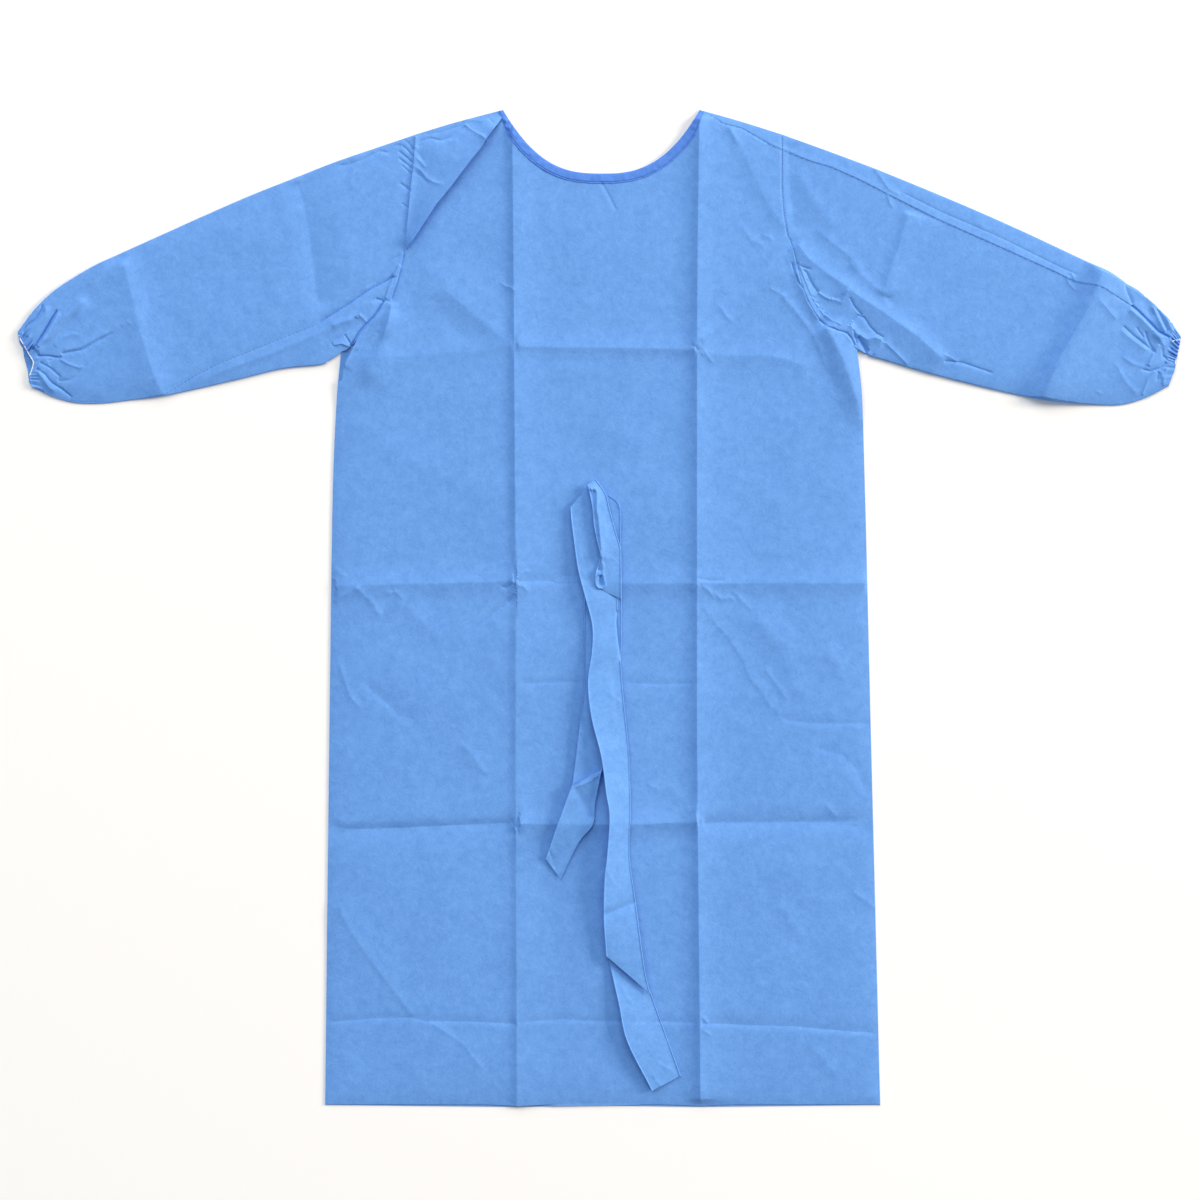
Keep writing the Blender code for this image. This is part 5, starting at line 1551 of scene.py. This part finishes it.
# Neck binding
# A darker blue strip of the same cloth, folded over the raw edge of the neck and sewn through
# near its inner edge. It narrows towards the neck points and is a little puckered by the sewing.
BINDING_SECTION = [
    (1.0, 0.1), (0.98, 0.75), (0.93, 0.9), (0.88, 0.75), (0.85, 0.35), (0.82, 0.8), (0.76, 1.05),
    (0.5, 1.15), (0.15, 0.95), (0.04, 0.5), (0.0, 0.0),
    (0.04, -0.5), (0.2, -0.7), (0.6, -0.7), (1.0, -0.5),
]
BINDING_BLUE = (0.081, 0.233, 0.725)
BINDING_POINTS = 220
BINDING_REST = 0.1
BINDING_LIFT = 0.0001
PUCKER = Swell(0.00030, 0.0085, 8)
PUCKERED_TO = -0.095
PUCKER_BLEND = 0.02
binding_cloth = nonwoven("binding_cloth", BINDING_BLUE, 30)


def binding(name, start, end, base, lift):
    """The strip's section drawn along the neck, puckered, most of all at the left end."""
    edge = neck_line(0.0, start, end, BINDING_POINTS)
    sewn = neck_line(BINDING_WIDTH, start, end, BINDING_POINTS)
    loops = []
    for share, rise in BINDING_SECTION:
        line = edge + (sewn - edge) * share
        level = base(edge + (sewn - edge) * max(share, BINDING_REST)) + lift
        pucker = PUCKER.rise * (1 + 2 * smooth_step((PUCKERED_TO - line[:, 0]) / PUCKER_BLEND))
        level += max(rise, 0.0) * pucker * drift(line, PUCKER.size, PUCKER.seed)
        loops.append(np.column_stack([line, level + rise * MM]))
    return keep(closed_tube(name, np.array(loops), binding_cloth), "neck_binding")


for name, start, end, base, lift, length, below in (
    ("neck_binding_front", NECK_LEFT, NECK_RIGHT, cloth_height, 0.0, 0.315, "front_cloth"),
    ("neck_binding_back_left", NECK_LEFT, BACK_LAP, lapped_height, BINDING_LIFT, 0.225,
     "back_left_cloth"),
    ("neck_binding_back_right", -BACK_LAP, NECK_RIGHT, back_height, BINDING_LIFT, 0.225,
     "back_right_cloth"),
):
    strip = binding(name, start, end, base, lift)


# Belt
# A flat tape of the same cloth is sewn to the centre front at the waist. Its two tails hang
# down from there, folded and twisted, and stand a little off the front.
Strip = namedtuple("Strip", "left_x left_y left_lift right_x right_y right_lift")
BELT_SHORT_TAIL = [
    Strip(-0.0160, 0.147, 1.0, 0.0120, 0.135, 1.0),
    Strip(-0.0180, 0.121, 1.0, 0.0250, 0.122, 1.6),
    Strip(-0.0180, 0.082, 1.0, 0.0260, 0.082, 1.6),
    Strip(-0.0180, 0.022, 1.2, 0.0270, 0.022, 1.0),
    Strip(-0.0180, -0.038, 2.0, 0.0270, -0.038, 1.0),
    Strip(-0.0180, -0.089, 3.5, 0.0240, -0.077, 1.0),
    Strip(-0.0250, -0.151, 6.0, 0.0140, -0.144, 1.0),
    Strip(-0.0325, -0.2110, 4.6, 0.0040, -0.1935, 1.4),
    Strip(-0.0334, -0.2132, 9.5, 0.0030, -0.1950, 6.5),
    Strip(-0.0431, -0.2396, 9.0, -0.0045, -0.2322, 5.0),
    Strip(-0.0530, -0.2667, 7.5, -0.0075, -0.2593, 4.0),
    Strip(-0.0603, -0.2888, 5.0, -0.0247, -0.2814, 3.0),
    Strip(-0.0646, -0.3011, 3.0, -0.0468, -0.3257, 1.6),
]
BELT_LONG_TAIL = [
    Strip(-0.035, 0.121, 3.6, -0.010, 0.151, 2.6),
    Strip(-0.034, 0.106, 4.2, -0.002, 0.116, 2.6),
    Strip(-0.031, 0.082, 5.0, 0.006, 0.082, 2.6),
    Strip(-0.026, 0.047, 6.0, 0.013, 0.051, 2.6),
    Strip(-0.018, 0.016, 7.0, 0.021, 0.020, 2.6),
    Strip(-0.009, -0.020, 7.0, 0.023, -0.018, 2.6),
    Strip(-0.009, -0.050, 7.5, 0.025, -0.048, 2.6),
    Strip(-0.014, -0.088, 9.0, 0.027, -0.080, 2.6),
    Strip(-0.010, -0.130, 12.0, 0.030, -0.116, 2.6),
    Strip(0.002, -0.178, 14.5, 0.035, -0.165, 2.8),
    Strip(0.008, -0.222, 16.0, 0.037, -0.207, 3.0),
    Strip(0.012, -0.251, 16.0, 0.038, -0.246, 3.0),
    Strip(0.009, -0.298, 15.5, 0.036, -0.285, 3.0),
    Strip(0.006, -0.325, 14.0, 0.038, -0.313, 3.5),
    Strip(0.005, -0.369, 12.0, 0.044, -0.354, 4.5),
    Strip(0.007, -0.405, 9.0, 0.054, -0.429, 6.0),
    Strip(0.008, -0.417, 8.0, 0.061, -0.463, 5.5),
]
BELT_LONG_TAIL_END = [
    Strip(0.010, -0.408, 1.2, 0.056, -0.448, 1.0),
    Strip(0.012, -0.425, 3.0, 0.062, -0.463, 1.0),
    Strip(0.023, -0.475, 7.5, 0.073, -0.493, 1.2),
    Strip(0.033, -0.520, 8.0, 0.083, -0.520, 1.2),
    Strip(0.063, -0.580, 4.0, 0.098, -0.562, 1.2),
]
BELT_SEWN_END = [
    Strip(-0.0144, 0.1481, 7.0, -0.0040, 0.1550, 5.0),
    Strip(-0.0110, 0.1330, 8.0, 0.0079, 0.1377, 5.0),
    Strip(-0.0082, 0.1170, 9.0, 0.0120, 0.1216, 5.0),
    Strip(-0.0070, 0.1020, 9.5, 0.0172, 0.1020, 4.6),
    Strip(-0.0041, 0.0858, 9.5, 0.0218, 0.0858, 4.2),
    Strip(-0.0006, 0.0709, 9.0, 0.0259, 0.0720, 4.0),
    Strip(0.0006, 0.0640, 8.5, 0.0261, 0.0630, 4.0),
    Strip(-0.0020, 0.0510, 8.0, 0.0262, 0.0500, 4.0),
    Strip(-0.0050, 0.0400, 7.5, 0.0263, 0.0370, 4.0),
    Strip(-0.0050, 0.0290, 6.5, 0.0264, 0.0200, 3.8),
    Strip(0.0000, 0.0232, 5.2, 0.0264, 0.0112, 3.2),
]
SHORT_TAIL_FOLDS = [
    Fold([(571, 787), (580.8, 784.5), (591, 779.5), (602.5, 771)], 0.9, 1.0, 2.2, 0.3, (0, 0)),
    Fold([(573, 785), (584.9, 803.3), (592, 821.6)], -1.8, 9, 7, 0.6, (2, 6)),
    Fold([(549, 848), (555.3, 864.5), (560.4, 877)], -0.9, 0.9, 3.0, 0.4, (1, 1)),
    Fold([(579.5, 730), (583, 733), (584.7, 739.4)], 0.6, 1.8, 1.8, 0.5, (2, 2)),
    Fold([(577, 748), (588, 757), (597, 772)], 0.5, 4, 4, 1.0, (4, 4)),
]
LONG_TAIL_FOLDS = [
    Fold([(604, 913.7), (618, 908), (635.5, 901.5)], -1.8, 6, 6, 0.4, (0, 0)),
    Fold([(629, 826), (620, 836), (610, 851.5)], 0.6, 2.5, 2.5, 0.5, (1, 2)),
    Fold([(617.5, 609), (617, 622), (618, 635), (619.7, 652), (621.6, 661)],
         -2.6, 1.4, 1.4, 0.4, (5, 2)),
    Fold([(606, 690), (614, 697), (622, 703)], 0.5, 2.5, 2.5, 0.6, (5, 3)),
    Fold([(612, 660), (615, 685), (617, 720)], -0.5, 4, 4, 1.0, (10, 14)),
    Fold([(581, 548), (579, 554), (581, 560)], 0.4, 1.8, 1.8, 0.5, (2, 2)),
    Fold([(606, 868), (612, 880), (618, 887)], 0.4, 2.5, 2.5, 0.6, (2, 4)),
    Fold([(607, 586), (614, 592), (621.5, 599)], -0.8, 3, 7, 0.6, (1, 1)),
]
TAIL_END_FOLDS = [
    Fold([(622, 985), (626, 996), (633, 1004)], 0.5, 2.5, 2.5, 0.6, (4, 4)),
    Fold([(656, 1060), (664, 1066), (673, 1070)], 0.5, 2.2, 2.2, 0.5, (4, 3)),
    Fold([(652, 1072), (656, 1080), (662, 1086)], 0.5, 2.2, 2.2, 0.5, (3, 1)),
]
SEWN_END_FOLDS = [
    Fold([(588.5, 487.2), (591.8, 490), (594, 488.8), (596.8, 491.5), (596.8, 510.2), (598.3, 517.8),
          (599.7, 532.2), (601.1, 546.6), (601.6, 562)], 3.0, 7, 2.6, 0.3, (2, 9)),
    Fold([(598.6, 553), (597.6, 562), (598.6, 572)], -2.4, 2.2, 3.0, 0.5, (6, 2)),
    Fold([(602.6, 556), (601.2, 561), (603.2, 566), (602.2, 573)], 1.1, 1.4, 1.0, 0.3, (1, 1)),
    Fold([(600.8, 572), (597.4, 576), (596.2, 582), (597.2, 587.6), (602.5, 588.6), (605.2, 585.4),
          (604, 579), (602.4, 573)], 1.5, 1.2, 1.2, 0.3, (1, 1)),
    Fold([(600.6, 575), (600.2, 585.5)], -2.6, 2.6, 2.6, 0.8, (1, 1)),
    Fold([(604, 560), (610, 558), (616, 561)], 0.4, 2.2, 2.2, 0.5, (3, 3)),
    Fold([(603, 498), (603.5, 520), (606, 545)], 0.5, 4, 4, 1.0, (10, 10)),
]
BELT_BLUE = (0.130, 0.334, 0.775)
TAPE_STEP = 0.0018
TAPE_COLUMNS = 26
EVEN_SHARE = 0.4
TAPE_WAVE = 0.0005
TAPE_WAVE_SIZE = 0.055
TAPE_GAP = 0.0004
RIM_WIDTH = 0.0014
RIM_RISE = 0.0009
LIFT_FREE = 0.004
belt_cloth = nonwoven("belt_cloth", BELT_BLUE, 8)


def tape(name, rows, folds, seed):
    """A tape that stands off the front by its lifts, its two edges a little thickened."""
    table = eased(rows, TAPE_STEP)
    left, right = table[:, :3], table[:, 3:]
    even = np.linspace(0.0, 1.0, TAPE_COLUMNS + 1)
    shares = EVEN_SHARE * even + (1 - EVEN_SHARE) * (1 - np.cos(math.pi * even)) / 2
    grid = left[:, None] + (right - left)[:, None] * shares[:, None]
    points = grid[..., :2].reshape(-1, 2)
    lift = grid[..., 2].ravel() * MM
    width = np.hypot(*(right - left)[:, :2].T)
    from_edge = (np.minimum(shares, 1 - shares) * width[:, None]).ravel()
    free = 1 / (1 + (lift / LIFT_FREE) ** 2)
    height = BODY_LEVEL + (cloth_height(points) - BODY_LEVEL) * free + lift
    height += RIM_RISE * np.exp(-((from_edge / RIM_WIDTH - 0.5) * 2) ** 2)
    height += TAPE_WAVE * drift(points, TAPE_WAVE_SIZE, seed)
    for fold in folds:
        height += fold_height(points, fold)
    height = np.maximum(height, cloth_height(points) + TAPE_GAP)
    upper = np.column_stack([points, height + CLOTH]).reshape(grid.shape)
    return keep(shell(name, upper, upper - [0.0, 0.0, CLOTH], belt_cloth), "belt_tape")


for name, rows, folds, seed, flat, area, held, below in (
    ("belt_short_tail", BELT_SHORT_TAIL, SHORT_TAIL_FOLDS, 21, (0.045, 0.475), 0.0187, "folded",
     ["front_cloth"]),
    ("belt_long_tail", BELT_LONG_TAIL, LONG_TAIL_FOLDS, 22, (0.045, 0.590), 0.0220, "folded",
     ["belt_short_tail_cloth", "front_cloth"]),
    ("belt_long_tail_end", BELT_LONG_TAIL_END, TAIL_END_FOLDS, 23, (0.052, 0.160), 0.0066,
     "folded", ["front_cloth"]),
    ("belt_sewn_end", BELT_SEWN_END, SEWN_END_FOLDS, 24, (0.031, 0.142), 0.0037, "laid",
     ["belt_long_tail_cloth"]),
):
    tape(name, rows, folds, seed)


# Stitching
# The seams are sewn with a darker blue thread in long straight stitches. Each row is worked
# out along its seam, every stitch a small spindle sunk half into the cloth.
STITCH_THICKNESS = 0.00055
STITCH_SINK = 0.00005
STITCH_SEED = 40
STITCH_UNEVEN = (0.78, 1.12)
SEAM_STEP = 0.001
NECK_STITCH_RISE = 0.0005
NECK_STITCH_PLACE = 0.85
NECK_STITCH_SEED = 50
SPINDLE = {"Segments": 6, "Rings": 4, "Radius": 0.5}
LEFT_ARMHOLE_SEWN = [(415.2, 136), (413.1, 165), (410.1, 190), (404.7, 250)]
RIGHT_ARMHOLE_SEWN = [(782.6, 137), (782.4, 165), (782.4, 190), (784.4, 215), (788.4, 237)]
Row = namedtuple("Row", "path pitch length")
SEAM_ROWS = {
    "top_seam_stitches": Row(RIGHT_TOP_SEAM[:17], 0.0072, 0.0046),
    "left_armhole_stitches": Row(LEFT_ARMHOLE_SEWN, 0.0036, 0.0022),
    "right_armhole_stitches": Row(RIGHT_ARMHOLE_SEWN, 0.0036, 0.0022),
    "underarm_stitches": Row(UNDERARM_NEAR + UNDERARM_FAR[2:], 0.0050, 0.0034),
}
thread = fibrous("seam_thread", (0.022, 0.090, 0.330), (0.040, 0.135, 0.450), 1200.0, 0.55, 0.2)

stitch_row = bpy.data.node_groups.new("stitch_row", "GeometryNodeTree")
stitch_row.interface.new_socket("Seam", in_out="INPUT", socket_type="NodeSocketGeometry")
for label in ("Pitch", "Length", "Thickness"):
    stitch_row.interface.new_socket(label, in_out="INPUT", socket_type="NodeSocketFloat")
stitch_row.interface.new_socket("Seed", in_out="INPUT", socket_type="NodeSocketInt")
stitch_row.interface.new_socket("Stitches", in_out="OUTPUT", socket_type="NodeSocketGeometry")
given = stitch_row.nodes.new("NodeGroupInput")
result = stitch_row.nodes.new("NodeGroupOutput")
seam_curve = stitch_row.nodes.new("GeometryNodeMeshToCurve")
spaced = stitch_row.nodes.new("GeometryNodeResampleCurve")
spaced.mode = "LENGTH"
spindle = stitch_row.nodes.new("GeometryNodeMeshUVSphere")
for label, value in SPINDLE.items():
    spindle.inputs[label].default_value = value
tangent = stitch_row.nodes.new("GeometryNodeInputTangent")
turned_to = stitch_row.nodes.new("FunctionNodeAlignRotationToVector")
turned_to.axis = "X"
uneven = stitch_row.nodes.new("FunctionNodeRandomValue")
longer = stitch_row.nodes.new("ShaderNodeMath")
longer.operation = "MULTIPLY"
size = stitch_row.nodes.new("ShaderNodeCombineXYZ")
placed = stitch_row.nodes.new("GeometryNodeInstanceOnPoints")
real = stitch_row.nodes.new("GeometryNodeRealizeInstances")
painted = stitch_row.nodes.new("GeometryNodeSetMaterial")
painted.inputs["Material"].default_value = thread


def open_socket(sockets, name):
    """The socket of that name that the node's present type uses."""
    return next(socket for socket in sockets if socket.name == name and socket.enabled)


for bound, value in zip(("Min", "Max"), STITCH_UNEVEN):
    open_socket(uneven.inputs, bound).default_value = value
for output, target in (
    (given.outputs["Seam"], seam_curve.inputs["Mesh"]),
    (seam_curve.outputs["Curve"], spaced.inputs["Curve"]),
    (given.outputs["Pitch"], spaced.inputs["Length"]),
    (given.outputs["Seed"], open_socket(uneven.inputs, "Seed")),
    (open_socket(uneven.outputs, "Value"), longer.inputs[0]),
    (given.outputs["Length"], longer.inputs[1]),
    (longer.outputs[0], size.inputs["X"]),
    (given.outputs["Thickness"], size.inputs["Y"]),
    (given.outputs["Thickness"], size.inputs["Z"]),
    (tangent.outputs["Tangent"], turned_to.inputs["Vector"]),
    (spaced.outputs["Curve"], placed.inputs["Points"]),
    (spindle.outputs["Mesh"], placed.inputs["Instance"]),
    (turned_to.outputs["Rotation"], placed.inputs["Rotation"]),
    (size.outputs["Vector"], placed.inputs["Scale"]),
    (placed.outputs["Instances"], real.inputs["Geometry"]),
    (real.outputs["Geometry"], painted.inputs["Geometry"]),
    (painted.outputs["Geometry"], result.inputs["Stitches"]),
):
    stitch_row.links.new(output, target)


def stitched(name, line, heights, pitch, length, seed):
    """One row of stitches along a line in plan, as a plain mesh that lies with the gown."""
    mesh = bpy.data.meshes.new(name)
    verts = [tuple(vert) for vert in np.column_stack([line, heights]).tolist()]
    mesh.from_pydata(verts, [(place, place + 1) for place in range(len(verts) - 1)], [])
    row = placed_object(name, mesh)
    modifier = row.modifiers.new("stitches", "NODES")
    modifier.node_group = stitch_row
    values = {"Pitch": pitch, "Length": length, "Thickness": STITCH_THICKNESS, "Seed": seed}
    for item in stitch_row.interface.items_tree:
        if item.in_out == "INPUT" and item.name in values:
            modifier[item.identifier] = values[item.name]
    bpy.context.view_layer.update()
    evaluated = row.evaluated_get(bpy.context.evaluated_depsgraph_get())
    made = bpy.data.meshes.new_from_object(evaluated)
    row.modifiers.remove(modifier)
    row.data = made
    made.shade_smooth()
    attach(row, "root")


for seed, (name, row) in enumerate(SEAM_ROWS.items()):
    line = eased(spots(row.path), SEAM_STEP)
    stitched(name, line, cloth_height(line) - STITCH_SINK, row.pitch, row.length,
             STITCH_SEED + seed)
neck_row = evenly(neck_line(BINDING_WIDTH * NECK_STITCH_PLACE), SEAM_STEP)
stitched("neck_stitches", neck_row, cloth_height(neck_row) + NECK_STITCH_RISE, 0.0034, 0.0021,
         NECK_STITCH_SEED)
